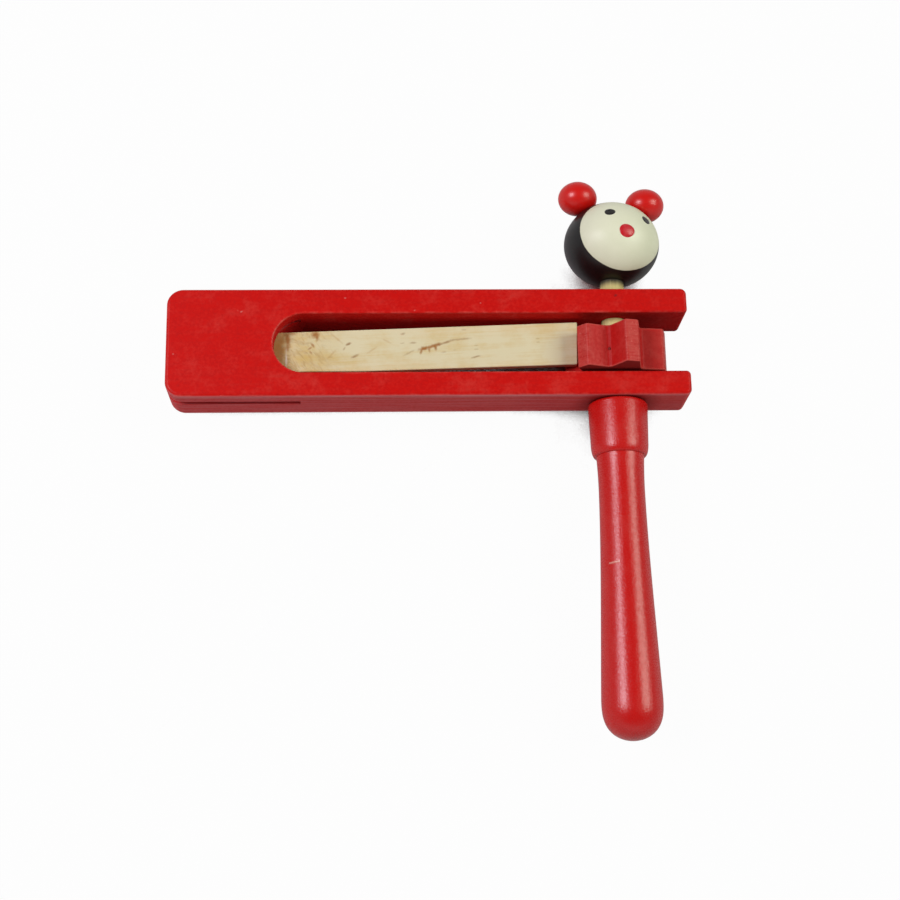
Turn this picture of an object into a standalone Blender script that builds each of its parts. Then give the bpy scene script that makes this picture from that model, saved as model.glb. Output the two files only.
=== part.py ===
"""Wooden hand ratchet, lying on its back as it is put down.

A slotted frame swings round a shaft that carries a toothed gear, a turned handle and an animal head.
A springy tongue, glued into a saw kerf in the frame, snaps from tooth to tooth.

X runs along the frame towards its open end, Y along the shaft towards the head, Z up out of the
frame's front face. Pieces are laid out round the shaft axis at the middle of the frame's height.
"""

import math

import bmesh
import bpy
from mathutils import Matrix, Vector

# Frame block with its round-ended slot
FRAME_LENGTH = 0.166
FRAME_HEIGHT = 0.036
FRAME_DEPTH = 0.018
UPPER_ARM = 0.0084
LOWER_ARM = 0.0079
SOLID_END = 0.0336
CLOSED_CORNER_RADIUS = 0.0052
OPEN_CORNER_RADIUS = 0.0020
SLOT_CORNER_RADIUS = 0.0014
FRAME_EDGE_ROUND = 0.0012
SLOT_EDGE_ROUND = 0.0005
SHAFT_INSET = 0.0227

# Fits
RUNNING_GAP = 0.0003
GLUE_GAP = 0.0003

# Shaft
SHAFT_RADIUS = 0.0039

# Tongue in its saw kerf
KERF_LENGTH = 0.0422
TONGUE_THICKNESS = 0.0024
TONGUE_OFFSET = 0.0021
TONGUE_ROOT_HEIGHT = 0.0132
TONGUE_TIP_HEIGHT = 0.0144
TONGUE_ROOT_GAP = 0.0018
TONGUE_TIP_GAP = 0.00095
TONGUE_REACH_GAP = 0.0014
TONGUE_TAIL_RECESS = 0.0025
TONGUE_EDGE_ROUND = 0.0003

# Gear
GEAR_TEETH = 6
GEAR_TIP_RADIUS = 0.0163
GEAR_ROOT_RADIUS = 0.0109
GEAR_THICKNESS = 0.0141
GEAR_SEAT_GAP = 0.00085
GEAR_LAND_ANGLE = math.radians(15.4)
GEAR_VALLEY_ANGLE = math.radians(6.4)
GEAR_EDGE_ROUND = 0.0005
GEAR_REST_TURN = math.radians(2.8)

# Brad that locks the gear to the shaft
PIN_RADIUS = 0.0005
PIN_HEIGHT = 0.0060
PIN_PROUD = 0.0002
PIN_GRIP = 0.0025

# Turned handle: collar under the frame, waisted grip, round butt
HANDLE_LENGTH = 0.1069
COLLAR_GAP = 0.0005
COLLAR_LENGTH = 0.0175
COLLAR_RADIUS = 0.0095
COLLAR_FOOT_RADIUS = 0.00915
COLLAR_TOP_ROUND = 0.0010
COLLAR_SHOULDER = 0.0040
COLLAR_STEP = 0.0012
GRIP_NECK_RADIUS = 0.0076
GRIP_WAIST_RADIUS = 0.00726
GRIP_WAIST_DROP = 0.0110
GRIP_BELLY_RADIUS = 0.00945
GRIP_BUTT_LENGTH = 0.0124
GRIP_NECK_SLOPE = 2.2
GRIP_SWELL_START_SLOPE = 0.2
GRIP_SWELL_END_SLOPE = 1.1
GRIP_BUTT_FULLNESS = 2.9
HANDLE_SOCKET = 0.0150

# Head: a slightly flattened ball, with two bead ears of the same form on pegs
NECK_LENGTH = 0.0046
HEAD_RADIUS = 0.0156
HEAD_HALF_HEIGHT = 0.0139
HEAD_SOCKET = 0.0165
HEAD_TURN = math.radians(9.5)
HEAD_LEAN = math.radians(2.2)
EAR_RADIUS = 0.0064
EAR_HALF_HEIGHT = 0.0055
EAR_ELEVATION = math.radians(53.2)
EAR_SEAT = 0.00095
PEG_RADIUS = 0.0015
PEG_IN_HEAD = 0.0060
PEG_IN_EAR = 0.0040

# Facets
TURNED_SIDES = 48
BEAD_SIDES = 32
CORNER_STEPS = 5
SLOT_STEPS = 20
ROUND_STEPS = 3
CUT_OVERRUN = 0.0020

# Levels along the shaft and across the frame, from the sizes above
FRAME_TOP = FRAME_HEIGHT / 2
FRAME_BOTTOM = -FRAME_HEIGHT / 2
FRAME_FRONT = FRAME_DEPTH / 2
FRAME_BACK = -FRAME_DEPTH / 2
OPEN_END = SHAFT_INSET
CLOSED_END = SHAFT_INSET - FRAME_LENGTH
SLOT_TOP = FRAME_TOP - UPPER_ARM
SLOT_BOTTOM = FRAME_BOTTOM + LOWER_ARM
SLOT_START = CLOSED_END + SOLID_END
BORE_RADIUS = SHAFT_RADIUS + RUNNING_GAP
GLUED_BORE_RADIUS = SHAFT_RADIUS + GLUE_GAP
GEAR_LOW = SLOT_BOTTOM + GEAR_SEAT_GAP
GEAR_HIGH = GEAR_LOW + GEAR_THICKNESS
COLLAR_TOP = FRAME_BOTTOM - COLLAR_GAP
COLLAR_FOOT = COLLAR_TOP - COLLAR_LENGTH
WAIST_LEVEL = COLLAR_FOOT - GRIP_WAIST_DROP
HANDLE_END = COLLAR_TOP - HANDLE_LENGTH
BELLY_LEVEL = HANDLE_END + GRIP_BUTT_LENGTH
CHIN_LEVEL = FRAME_TOP + NECK_LENGTH
HEAD_LEVEL = CHIN_LEVEL + HEAD_HALF_HEIGHT
EAR_FLAT, EAR_UP = math.cos(EAR_ELEVATION), math.sin(EAR_ELEVATION)
EAR_JOINT = 1 / math.hypot(EAR_FLAT / HEAD_RADIUS, EAR_UP / HEAD_HALF_HEIGHT)
EAR_REACH = EAR_JOINT + 1 / math.hypot(EAR_FLAT / EAR_RADIUS, EAR_UP / EAR_HALF_HEIGHT) - EAR_SEAT
TONGUE_END = -(GEAR_ROOT_RADIUS + TONGUE_REACH_GAP)
PITCH = 2 * math.pi / GEAR_TEETH

RED_PAINT = (0.571, 0.011, 0.008)
BLACK_PAINT = (0.008, 0.006, 0.006)
PALE_WOOD = (0.640, 0.540, 0.310)
DARK_STEEL = (0.060, 0.040, 0.035)


def clear_scene():
    """Remove every object, so the script starts from an empty scene."""
    for obj in list(bpy.data.objects):
        bpy.data.objects.remove(obj, do_unlink=True)


def finish(name, rgb, roughness, metallic=0.0):
    """Make a Principled material of one colour."""
    material = bpy.data.materials.new(name)
    material.use_nodes = True
    shader = material.node_tree.nodes["Principled BSDF"]
    shader.inputs["Base Color"].default_value = (*rgb, 1.0)
    shader.inputs["Roughness"].default_value = roughness
    shader.inputs["Metallic"].default_value = metallic
    return material


def empty(name, location, parent=None):
    """Add an empty that carries the pieces of one body."""
    obj = bpy.data.objects.new(name, None)
    obj.location = location
    obj.parent = parent
    bpy.context.scene.collection.objects.link(obj)
    return obj


def solid(name, bm, parent, material=None, location=(0.0, 0.0, 0.0)):
    """Turn a bmesh into a smooth-shaded object under its parent."""
    bmesh.ops.recalc_face_normals(bm, faces=bm.faces)
    mesh = bpy.data.meshes.new(name)
    bm.to_mesh(mesh)
    bm.free()
    mesh.shade_smooth()
    mesh.set_sharp_from_angle(angle=math.radians(35))
    obj = bpy.data.objects.new(name, mesh)
    obj.location = location
    obj.parent = parent
    if material:
        mesh.materials.append(material)
    bpy.context.scene.collection.objects.link(obj)
    return obj


def lofted(rings):
    """Bridge closed loops of equally many points, and cap both ends."""
    bm = bmesh.new()
    loops = [[bm.verts.new(point) for point in ring] for ring in rings]
    for low, high in zip(loops, loops[1:]):
        for i in range(len(low)):
            j = (i + 1) % len(low)
            bm.faces.new((low[i], low[j], high[j], high[i]))
    bm.faces.new(reversed(loops[0]))
    bm.faces.new(loops[-1])
    return bm


def turned(profile, sides):
    """Spin a (radius, level) profile, axis to axis, about the shaft's direction."""
    bm = bmesh.new()
    verts = [bm.verts.new((radius, level, 0.0)) for radius, level in profile]
    edges = [bm.edges.new(pair) for pair in zip(verts, verts[1:])]
    bmesh.ops.spin(bm, geom=verts + edges, cent=(0, 0, 0), axis=(0, 1, 0),
                   angle=2 * math.pi, steps=sides, use_merge=True)
    bmesh.ops.remove_doubles(bm, verts=bm.verts, dist=1e-6)
    return bm


def rod(start, end, radius, sides):
    """Make a straight round bar between two points."""
    start, end = Vector(start), Vector(end)
    along = end - start
    place = Matrix.Translation((start + end) / 2) @ along.to_track_quat("Z", "Y").to_matrix().to_4x4()
    bm = bmesh.new()
    bmesh.ops.create_cone(bm, cap_ends=True, segments=sides, radius1=radius, radius2=radius,
                          depth=along.length, matrix=place)
    return bm


def block(low, high):
    """Make a box between two corners."""
    low, high = Vector(low), Vector(high)
    bm = bmesh.new()
    bmesh.ops.create_cube(bm, size=1.0, matrix=Matrix.Translation((low + high) / 2)
                          @ Matrix.Diagonal((*(high - low), 1.0)))
    return bm


def cut(target, name, bm, parent):
    """Subtract a hidden cutter from an object."""
    cutter = solid(name, bm, parent)
    cutter.hide_render = True
    cutter.display_type = "WIRE"
    modifier = target.modifiers.new(name, "BOOLEAN")
    modifier.operation = "DIFFERENCE"
    modifier.solver = "EXACT"
    modifier.object = cutter


def soften(target, width, segments):
    """Round an object's sharp edges."""
    modifier = target.modifiers.new("edge_round", "BEVEL")
    modifier.width = width
    modifier.segments = segments
    modifier.limit_method = "ANGLE"
    modifier.angle_limit = math.radians(20)


def arc(centre, radius, start, end, steps):
    """List points and outward directions along an arc, angles in degrees."""
    points = []
    for i in range(steps + 1):
        angle = math.radians(start + (end - start) * i / steps)
        direction = Vector((math.cos(angle), math.sin(angle)))
        points.append((Vector(centre) + radius * direction, direction))
    return points


def frame_outline():
    """List the frame's outline as (point, outward normal, edge rounding), anticlockwise."""
    outer, inner, closed = OPEN_CORNER_RADIUS, SLOT_CORNER_RADIUS, CLOSED_CORNER_RADIUS
    slot_radius = (SLOT_TOP - SLOT_BOTTOM) / 2
    slot_centre = (SLOT_START + slot_radius, (SLOT_TOP + SLOT_BOTTOM) / 2)

    def rounded(points, first=FRAME_EDGE_ROUND, last=FRAME_EDGE_ROUND):
        count = len(points) - 1
        return [(p, n, first + (last - first) * i / count) for i, (p, n) in enumerate(points)]

    lower_tip = (rounded(arc((OPEN_END - outer, FRAME_BOTTOM + outer), outer, -90, 0, CORNER_STEPS))
                 + rounded(arc((OPEN_END - inner, SLOT_BOTTOM - inner), inner, 0, 90, CORNER_STEPS),
                           last=SLOT_EDGE_ROUND))
    slot = [(point, -normal, SLOT_EDGE_ROUND)
            for point, normal in arc(slot_centre, slot_radius, 270, 90, SLOT_STEPS)]
    upper_tip = (rounded(arc((OPEN_END - inner, SLOT_TOP + inner), inner, -90, 0, CORNER_STEPS),
                         first=SLOT_EDGE_ROUND)
                 + rounded(arc((OPEN_END - outer, FRAME_TOP - outer), outer, 0, 90, CORNER_STEPS)))
    back = (rounded(arc((CLOSED_END + closed, FRAME_TOP - closed), closed, 90, 180, CORNER_STEPS))
            + rounded(arc((CLOSED_END + closed, FRAME_BOTTOM + closed), closed, 180, 270, CORNER_STEPS)))
    return lower_tip + slot + upper_tip + back


def build_frame(root, material):
    """Loft the frame with rounded edges, then bore both arms and saw the kerf."""
    outline = frame_outline()

    def ring(side, angle):
        points = []
        for point, normal, radius in outline:
            place = point - normal * radius * (1 - math.cos(angle))
            level = side * (FRAME_FRONT - radius + radius * math.sin(angle))
            points.append((place.x, place.y, level))
        return points

    angles = [math.pi / 2 * i / ROUND_STEPS for i in range(ROUND_STEPS + 1)]
    rings = [ring(-1, angle) for angle in reversed(angles)] + [ring(1, angle) for angle in angles]
    frame = solid("frame", lofted(rings), root, material)
    bore = rod((0, FRAME_BOTTOM - CUT_OVERRUN, 0), (0, FRAME_TOP + CUT_OVERRUN, 0), BORE_RADIUS, TURNED_SIDES)
    cut(frame, "cut_shaft_bore", bore, root)
    half = TONGUE_THICKNESS / 2 + GLUE_GAP
    kerf = block((CLOSED_END - CUT_OVERRUN, FRAME_BOTTOM - CUT_OVERRUN, TONGUE_OFFSET - half),
                 (CLOSED_END + KERF_LENGTH, FRAME_TOP + CUT_OVERRUN, TONGUE_OFFSET + half))
    cut(frame, "cut_kerf", kerf, root)


def build_tongue(root, material):
    """Extrude the tapered tongue, which lifts from the lower arm at its root to the upper arm at its tip."""
    root_low = SLOT_BOTTOM + TONGUE_ROOT_GAP
    root_high = root_low + TONGUE_ROOT_HEIGHT
    tip_high = SLOT_TOP - TONGUE_TIP_GAP
    tip_low = tip_high - TONGUE_TIP_HEIGHT
    reach = TONGUE_END - SLOT_START
    tail = CLOSED_END + TONGUE_TAIL_RECESS - SLOT_START
    lean = (tip_high + tip_low - root_high - root_low) / (2 * reach)

    def level(low, high, along):
        return low + (high - low) * along / reach

    corners = [(tail, level(root_low, tip_low, tail)),
               (reach - lean * TONGUE_TIP_HEIGHT, tip_low),
               (reach, tip_high),
               (tail, level(root_high, tip_high, tail))]
    half = TONGUE_THICKNESS / 2
    rings = [[(x, y, z) for x, y in corners] for z in (-half, half)]
    tongue = solid("tongue", lofted(rings), root, material, (SLOT_START, 0.0, TONGUE_OFFSET))
    soften(tongue, TONGUE_EDGE_ROUND, 2)


def gear_phase():
    """Angle of the first tooth from +Z towards +X, with a valley standing open at the tongue's end."""
    valley = math.atan2(TONGUE_OFFSET, -TONGUE_END) + GEAR_REST_TURN - math.pi / 2
    return valley + PITCH / 2


def gear_outline():
    """List the gear's outline round the shaft as (x, z): flat-topped teeth with straight flanks."""
    points = []
    for tooth in range(GEAR_TEETH):
        middle = gear_phase() + PITCH * tooth
        for i in range(CORNER_STEPS):
            angle = middle + GEAR_LAND_ANGLE * (i / (CORNER_STEPS - 1) - 0.5)
            points.append((GEAR_TIP_RADIUS * math.sin(angle), GEAR_TIP_RADIUS * math.cos(angle)))
        for side in (-0.5, 0.5):
            angle = middle + PITCH / 2 + GEAR_VALLEY_ANGLE * side
            points.append((GEAR_ROOT_RADIUS * math.sin(angle), GEAR_ROOT_RADIUS * math.cos(angle)))
    return points


def pin_direction():
    """Radial direction of the brad, through the valley next to the first tooth."""
    angle = gear_phase() + PITCH / 2
    return Vector((math.sin(angle), 0.0, math.cos(angle)))


def pin_bar(start, end, radius):
    """Make a round bar along the brad's line, between two distances from the shaft axis."""
    level = Vector((0.0, GEAR_LOW + PIN_HEIGHT, 0.0))
    return rod(level + pin_direction() * start, level + pin_direction() * end, radius, 16)


def build_gear(rotor, red, steel):
    """Extrude the gear, bore it for the shaft and drive the brad through a valley."""
    rings = [[(x, y, z) for x, z in gear_outline()] for y in (GEAR_LOW, GEAR_HIGH)]
    gear = solid("gear", lofted(rings), rotor, red)
    soften(gear, GEAR_EDGE_ROUND, 2)
    low, high = GEAR_LOW - CUT_OVERRUN, GEAR_HIGH + CUT_OVERRUN
    bore = rod((0, low, 0), (0, high, 0), GLUED_BORE_RADIUS, TURNED_SIDES)
    cut(gear, "cut_gear_bore", bore, rotor)
    cut(gear, "cut_gear_pin", pin_bar(0.0, GEAR_ROOT_RADIUS + CUT_OVERRUN, PIN_RADIUS + GLUE_GAP), rotor)
    inner = SHAFT_RADIUS - PIN_GRIP
    outer = GEAR_ROOT_RADIUS * math.cos(GEAR_VALLEY_ANGLE / 2) + PIN_PROUD
    solid("gear_pin", pin_bar(inner, outer, PIN_RADIUS), rotor, steel)


def build_shaft(rotor, material):
    """Turn the dowel from the handle's socket, through both arms and the gear, to the head's socket."""
    low = COLLAR_TOP - HANDLE_SOCKET + GLUE_GAP
    high = CHIN_LEVEL + HEAD_SOCKET - GLUE_GAP
    shaft = solid("shaft", rod((0, low, 0), (0, high, 0), SHAFT_RADIUS, TURNED_SIDES), rotor, material)
    inner = SHAFT_RADIUS - PIN_GRIP - GLUE_GAP
    cut(shaft, "cut_shaft_pin", pin_bar(inner, SHAFT_RADIUS + CUT_OVERRUN, PIN_RADIUS + GLUE_GAP), rotor)


def hermite(t, start_slope, end_slope):
    """Ease from 0 to 1 with given slopes at both ends."""
    return ((t**3 - 2 * t**2 + t) * start_slope + (3 * t**2 - 2 * t**3) + (t**3 - t**2) * end_slope)


def handle_profile():
    """List the handle's (radius, level) profile from the collar's top to the butt."""
    points = [(0.0, COLLAR_TOP)]
    for i in range(4):
        angle = math.pi / 2 * i / 3
        points.append((COLLAR_RADIUS - COLLAR_TOP_ROUND * (1 - math.sin(angle)),
                       COLLAR_TOP - COLLAR_TOP_ROUND * (1 - math.cos(angle))))
    shoulder = COLLAR_FOOT + COLLAR_SHOULDER
    for i in range(6):
        angle = math.pi / 2 * i / 5
        points.append((COLLAR_FOOT_RADIUS - COLLAR_STEP * (1 - math.cos(angle)),
                       shoulder - COLLAR_SHOULDER * math.sin(angle)))
    for i in range(6):
        t = i / 5
        ease = hermite(t, GRIP_NECK_SLOPE, 0.0)
        points.append((GRIP_NECK_RADIUS + (GRIP_WAIST_RADIUS - GRIP_NECK_RADIUS) * ease,
                       COLLAR_FOOT - GRIP_WAIST_DROP * t))
    for i in range(1, 11):
        t = i / 10
        ease = hermite(t, GRIP_SWELL_START_SLOPE, GRIP_SWELL_END_SLOPE)
        points.append((GRIP_WAIST_RADIUS + (GRIP_BELLY_RADIUS - GRIP_WAIST_RADIUS) * ease,
                       WAIST_LEVEL + (BELLY_LEVEL - WAIST_LEVEL) * t))
    for i in range(1, 10):
        t = math.sin(math.pi / 2 * i / 9)
        points.append((GRIP_BELLY_RADIUS * math.sqrt(max(0.0, 1 - t**GRIP_BUTT_FULLNESS)),
                       BELLY_LEVEL - GRIP_BUTT_LENGTH * t))
    return points


def build_handle(rotor, material):
    """Turn the handle and bore its socket for the shaft."""
    handle = solid("handle", turned(handle_profile(), TURNED_SIDES), rotor, material)
    socket = rod((0, COLLAR_TOP - HANDLE_SOCKET, 0), (0, COLLAR_TOP + CUT_OVERRUN, 0),
                 GLUED_BORE_RADIUS, TURNED_SIDES)
    cut(handle, "cut_handle_socket", socket, rotor)


def head_place():
    """Place of the upright head, turned on the shaft and leaning about its chin to the frame's open end."""
    chin = Vector((0.0, CHIN_LEVEL, 0.0))
    lean = Matrix.Rotation(-HEAD_LEAN, 4, "Z") @ Matrix.Rotation(HEAD_TURN, 4, "Y")
    return Matrix.Translation(chin) @ lean @ Matrix.Translation(-chin)


def head_centre():
    """Centre of the head, after its lean."""
    return head_place() @ Vector((0.0, HEAD_LEVEL, 0.0))


def ear_direction(side):
    """Direction from the head's centre to an ear; side is -1 for the left ear and 1 for the right."""
    return head_place().to_3x3() @ Vector((side * EAR_FLAT, EAR_UP, 0.0))


def flattened_ball(centre, radius, half_height, sides):
    """Turn a flattened ball that is turned and leaning as the head is."""
    steps = sides // 2
    profile = [(radius * math.sin(math.pi * i / steps), half_height * math.cos(math.pi * i / steps))
               for i in range(1, steps)]
    bm = turned([(0.0, half_height)] + profile + [(0.0, -half_height)], sides)
    half_facet = Matrix.Rotation(math.pi / sides, 4, "Y")
    place = Matrix.Translation(centre) @ head_place().to_3x3().to_4x4() @ half_facet
    bmesh.ops.transform(bm, matrix=place, verts=bm.verts)
    return bm


def build_head(rotor, black, red, wood):
    """Turn the head, bore its socket, and seat both ears on it with pegs."""
    middle = head_centre()
    head = solid("head", flattened_ball(middle, HEAD_RADIUS, HEAD_HALF_HEIGHT, TURNED_SIDES), rotor, black)
    socket = rod((0, CHIN_LEVEL - CUT_OVERRUN, 0), (0, CHIN_LEVEL + HEAD_SOCKET, 0),
                 GLUED_BORE_RADIUS, TURNED_SIDES)
    cut(head, "cut_head_socket", socket, rotor)
    for side, label in ((-1, "left"), (1, "right")):
        direction = ear_direction(side)
        peg_low, peg_high = EAR_JOINT - PEG_IN_HEAD, EAR_JOINT + PEG_IN_EAR
        hole_radius = PEG_RADIUS + GLUE_GAP
        head_hole = rod(middle + direction * (peg_low - GLUE_GAP),
                        middle + direction * (EAR_JOINT + CUT_OVERRUN), hole_radius, 24)
        cut(head, "cut_head_%s_peg" % label, head_hole, rotor)
        bead = flattened_ball(middle + direction * EAR_REACH, EAR_RADIUS, EAR_HALF_HEIGHT, BEAD_SIDES)
        ear = solid("%s_ear" % label, bead, rotor, red)
        seat = flattened_ball(middle, HEAD_RADIUS + GLUE_GAP, HEAD_HALF_HEIGHT + GLUE_GAP, TURNED_SIDES)
        cut(ear, "cut_%s_ear_seat" % label, seat, rotor)
        ear_hole = rod(middle + direction * (EAR_JOINT - CUT_OVERRUN),
                       middle + direction * (peg_high + GLUE_GAP), hole_radius, 24)
        cut(ear, "cut_%s_ear_peg" % label, ear_hole, rotor)
        peg = rod(middle + direction * peg_low, middle + direction * peg_high, PEG_RADIUS, 24)
        solid("%s_ear_peg" % label, peg, rotor, wood)


def main():
    """Build every piece, with the whole part's footprint centred over the origin."""
    clear_scene()
    red = finish("red_paint", RED_PAINT, 0.35)
    black = finish("black_paint", BLACK_PAINT, 0.30)
    wood = finish("pale_wood", PALE_WOOD, 0.60)
    steel = finish("dark_steel", DARK_STEEL, 0.45, 1.0)
    ears = [head_centre() + ear_direction(side) * EAR_REACH for side in (-1, 1)]
    crown = max(ear.y for ear in ears) + EAR_HALF_HEIGHT
    rest = -min(z for x, z in gear_outline())
    root = empty("ratchet", (-(OPEN_END + CLOSED_END) / 2, -(crown + HANDLE_END) / 2, rest))
    rotor = empty("rotor_axis", (0.0, 0.0, 0.0), root)
    build_frame(root, red)
    build_tongue(root, wood)
    build_gear(rotor, red, steel)
    build_shaft(rotor, wood)
    build_handle(rotor, red)
    build_head(rotor, black, red, wood)


main()
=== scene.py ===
"""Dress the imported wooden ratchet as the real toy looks.

Every solid of the frame is rebuilt here as a fine surface in the same place, and then painted or left
bare: a matt red frame, a springy strip of bare wood, a rubbed gear, a glossy turned handle, and a black
ball of a head with a cream face and two red bead ears.

Lengths are in metres. Pieces are worked out round the shaft's axis at the middle of the frame's height,
with X along the frame to its open end, Y along the shaft to the head and Z out of the frame's front.
"""

import logging
import math
from dataclasses import dataclass
from enum import Enum
from typing import Any, Mapping, Sequence, Union

import bpy
import numpy as np
from mathutils import Matrix, Vector
from numpy.typing import NDArray


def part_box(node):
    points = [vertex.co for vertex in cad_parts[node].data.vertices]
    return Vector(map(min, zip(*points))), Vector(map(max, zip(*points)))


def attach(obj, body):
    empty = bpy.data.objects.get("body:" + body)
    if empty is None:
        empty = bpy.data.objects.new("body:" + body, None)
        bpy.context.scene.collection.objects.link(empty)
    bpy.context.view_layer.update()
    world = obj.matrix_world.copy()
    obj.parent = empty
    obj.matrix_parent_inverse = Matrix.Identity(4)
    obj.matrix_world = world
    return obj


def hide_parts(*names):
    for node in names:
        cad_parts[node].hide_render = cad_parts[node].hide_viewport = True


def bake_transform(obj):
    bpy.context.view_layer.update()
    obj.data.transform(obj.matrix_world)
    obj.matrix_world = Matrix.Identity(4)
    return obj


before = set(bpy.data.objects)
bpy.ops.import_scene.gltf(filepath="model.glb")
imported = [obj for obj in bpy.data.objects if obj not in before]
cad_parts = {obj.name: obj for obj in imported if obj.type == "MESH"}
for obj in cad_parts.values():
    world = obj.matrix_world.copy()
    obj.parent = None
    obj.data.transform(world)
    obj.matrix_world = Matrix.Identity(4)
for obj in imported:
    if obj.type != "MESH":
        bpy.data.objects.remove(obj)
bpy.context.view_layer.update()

Array = NDArray[np.float64]
Colour = tuple[float, float, float]
Triple = tuple[float, float, float]
Range = tuple[float, float]

LOG = logging.getLogger("ratchet")
MM = 0.001
PER_MM = 1.0 / MM
FULL_TURN = 2.0 * math.pi
QUARTER_TURN = math.pi / 2.0
WHITE = (1.0, 1.0, 1.0)
# A distance past anything on the part.
FAR = 1.0
# Edges that turn more than this angle, in degrees, stay sharp.
SHARP = 35.0
# How much more a large face counts in the shading than a small one.
FLAT_FACES_WEIGHT = 100


class Body(str, Enum):
    """The moving bodies of the ratchet."""

    FRAME = "frame"
    TONGUE = "tongue"
    ROTOR = "rotor"


class End(Enum):
    """How a row of rings is closed at one of its ends."""

    POINT = "the end ring has no size and is drawn together to one point"
    CAP = "the end ring is closed by one flat face"
    JOIN = "the last ring is joined to the first"


class Side(float, Enum):
    """Left and right of the face, as signs along X."""

    LEFT = -1.0
    RIGHT = 1.0


# Surfaces


@dataclass(frozen=True)
class Skin:
    """A closed surface over two parameters: which ring, and where round that ring.

    Attributes:
        rings: Points as an array of rings by points in a ring by three coordinates.
        first: How the first ring is closed.
        last: How the last ring is closed.
    """

    rings: Array
    first: End = End.POINT
    last: End = End.POINT

    def patches(self) -> tuple[Array, list[NDArray[np.int64]]]:
        """Join each ring to the next with four-sided faces, and close both ends.

        Returns:
            The points, and one array of corner numbers for each kind of face.
        """
        inner = self.rings[int(self.first is End.POINT):len(self.rings) - int(self.last is End.POINT)]
        count, around = inner.shape[:2]
        points = inner.reshape(-1, 3)
        index = np.arange(count * around).reshape(count, around)
        rows = np.vstack([index, index[:1]]) if self.last is End.JOIN else index
        ahead = np.roll(rows, -1, axis=1)
        faces = [np.stack([rows[:-1], ahead[:-1], ahead[1:], rows[1:]], axis=-1).reshape(-1, 4)]
        ends = ((self.first, index[0][::-1], self.rings[0]), (self.last, index[-1], self.rings[-1]))
        for end, ring, outer in ends:
            if end is End.CAP:
                faces.append(ring[None, :])
            elif end is End.POINT:
                tip = np.full(around, len(points))
                points = np.vstack([points, outer.mean(axis=0)])
                faces.append(np.stack([ring, np.roll(ring, -1), tip], axis=-1))
        return points, faces

    def mesh(self, name: str) -> bpy.types.Mesh:
        """Put the surface into a mesh whose faces point outwards.

        The volume is the sum of a . (b x c) / 6 over fans of triangles; where it is negative, every face
        is turned round.

        Args:
            name: Name of the mesh.

        Returns:
            The mesh.
        """
        points, faces = self.patches()
        volume = sum(
            float(np.sum(points[face[:, :1]] * np.cross(points[face[:, 1:-1]], points[face[:, 2:]])))
            for face in faces)
        step = 1 if volume > 0.0 else -1
        corners = [corner for face in faces for corner in face[:, ::step].tolist()]
        mesh = bpy.data.meshes.new(name)
        mesh.from_pydata(points.tolist(), [], corners)
        mesh.validate()
        return mesh

    def piece(self, name: str, sharp: float = SHARP) -> bpy.types.Object:
        """Make a smooth-shaded object of the surface.

        Args:
            name: Name of the object.
            sharp: Edges that turn more than this, in degrees, stay sharp.

        Returns:
            The object, at the origin with its place in its mesh.
        """
        obj = bpy.data.objects.new(name, self.mesh(name))
        bpy.context.scene.collection.objects.link(obj)
        shade(obj, sharp)
        return obj


def shade(obj: bpy.types.Object, sharp: float) -> None:
    """Shade an object smooth, but for edges that turn more than an angle in degrees."""
    obj.data.shade_smooth()
    obj.data.set_sharp_from_angle(angle=math.radians(sharp))


def weigh_normals(obj: bpy.types.Object) -> None:
    """Let the large faces of an object set its shading, so flat wood stays flat.

    Args:
        obj: The object.
    """
    modifier = obj.modifiers.new("weighted_shading", "WEIGHTED_NORMAL")
    modifier.keep_sharp = True
    modifier.weight = FLAT_FACES_WEIGHT


def turned(profile: Array, sides: int) -> Array:
    """Carry a profile round the shaft: a point (r, y) goes to (r cos a, y, r sin a) for each angle a.

    Args:
        profile: Radius and level of each point.
        sides: Points in each ring.

    Returns:
        The rings.
    """
    angle = np.linspace(0.0, FULL_TURN, sides, endpoint=False)
    radius, level = profile[:, :1], profile[:, 1:]
    return np.stack([radius * np.cos(angle), level + 0.0 * angle, radius * np.sin(angle)], axis=-1)


def unit(vectors: Array) -> Array:
    """Scale vectors to a length of 1."""
    return vectors / np.linalg.norm(vectors, axis=-1, keepdims=True)


def rounded_edge(steps: int) -> tuple[Array, Array]:
    """Follow a quarter circle: at an angle a, 1 - cos a in from the side and 1 - sin a from the face."""
    angle = np.linspace(0.0, QUARTER_TURN, steps)
    return 1.0 - np.cos(angle), 1.0 - np.sin(angle)


def axes_along(direction: Array) -> Array:
    """Find three square axes of which the second is the given direction.

    Args:
        direction: Unit vector.

    Returns:
        The axes as the columns of a matrix.
    """
    near_z = abs(direction[2]) > 0.9
    across = unit(np.cross(direction, (1.0, 0.0, 0.0) if near_z else (0.0, 0.0, 1.0)))
    return np.stack([across, direction, np.cross(across, direction)], axis=1)


def bar(start: Array, end: Array, profile: Array, sides: int) -> Array:
    """Carry a turned profile along a straight line.

    The profile's level runs from 0 at the start of the line to 1 at its end; its radius is in metres.

    Args:
        start: First point of the line.
        end: Last point of the line.
        profile: Radius and level of each point.
        sides: Points in each ring.

    Returns:
        The rings.
    """
    length = float(np.linalg.norm(end - start))
    rings = turned(profile * np.array([1.0, length]), sides)
    return start + rings @ axes_along((end - start) / length).T


def plain_bar(start: Array, end: Array, radius: float, sides: int = 32) -> Skin:
    """Make a straight round bar with flat ends."""
    return Skin(bar(start, end, np.array([[radius, 0.0], [radius, 1.0]]), sides), End.CAP, End.CAP)


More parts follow.
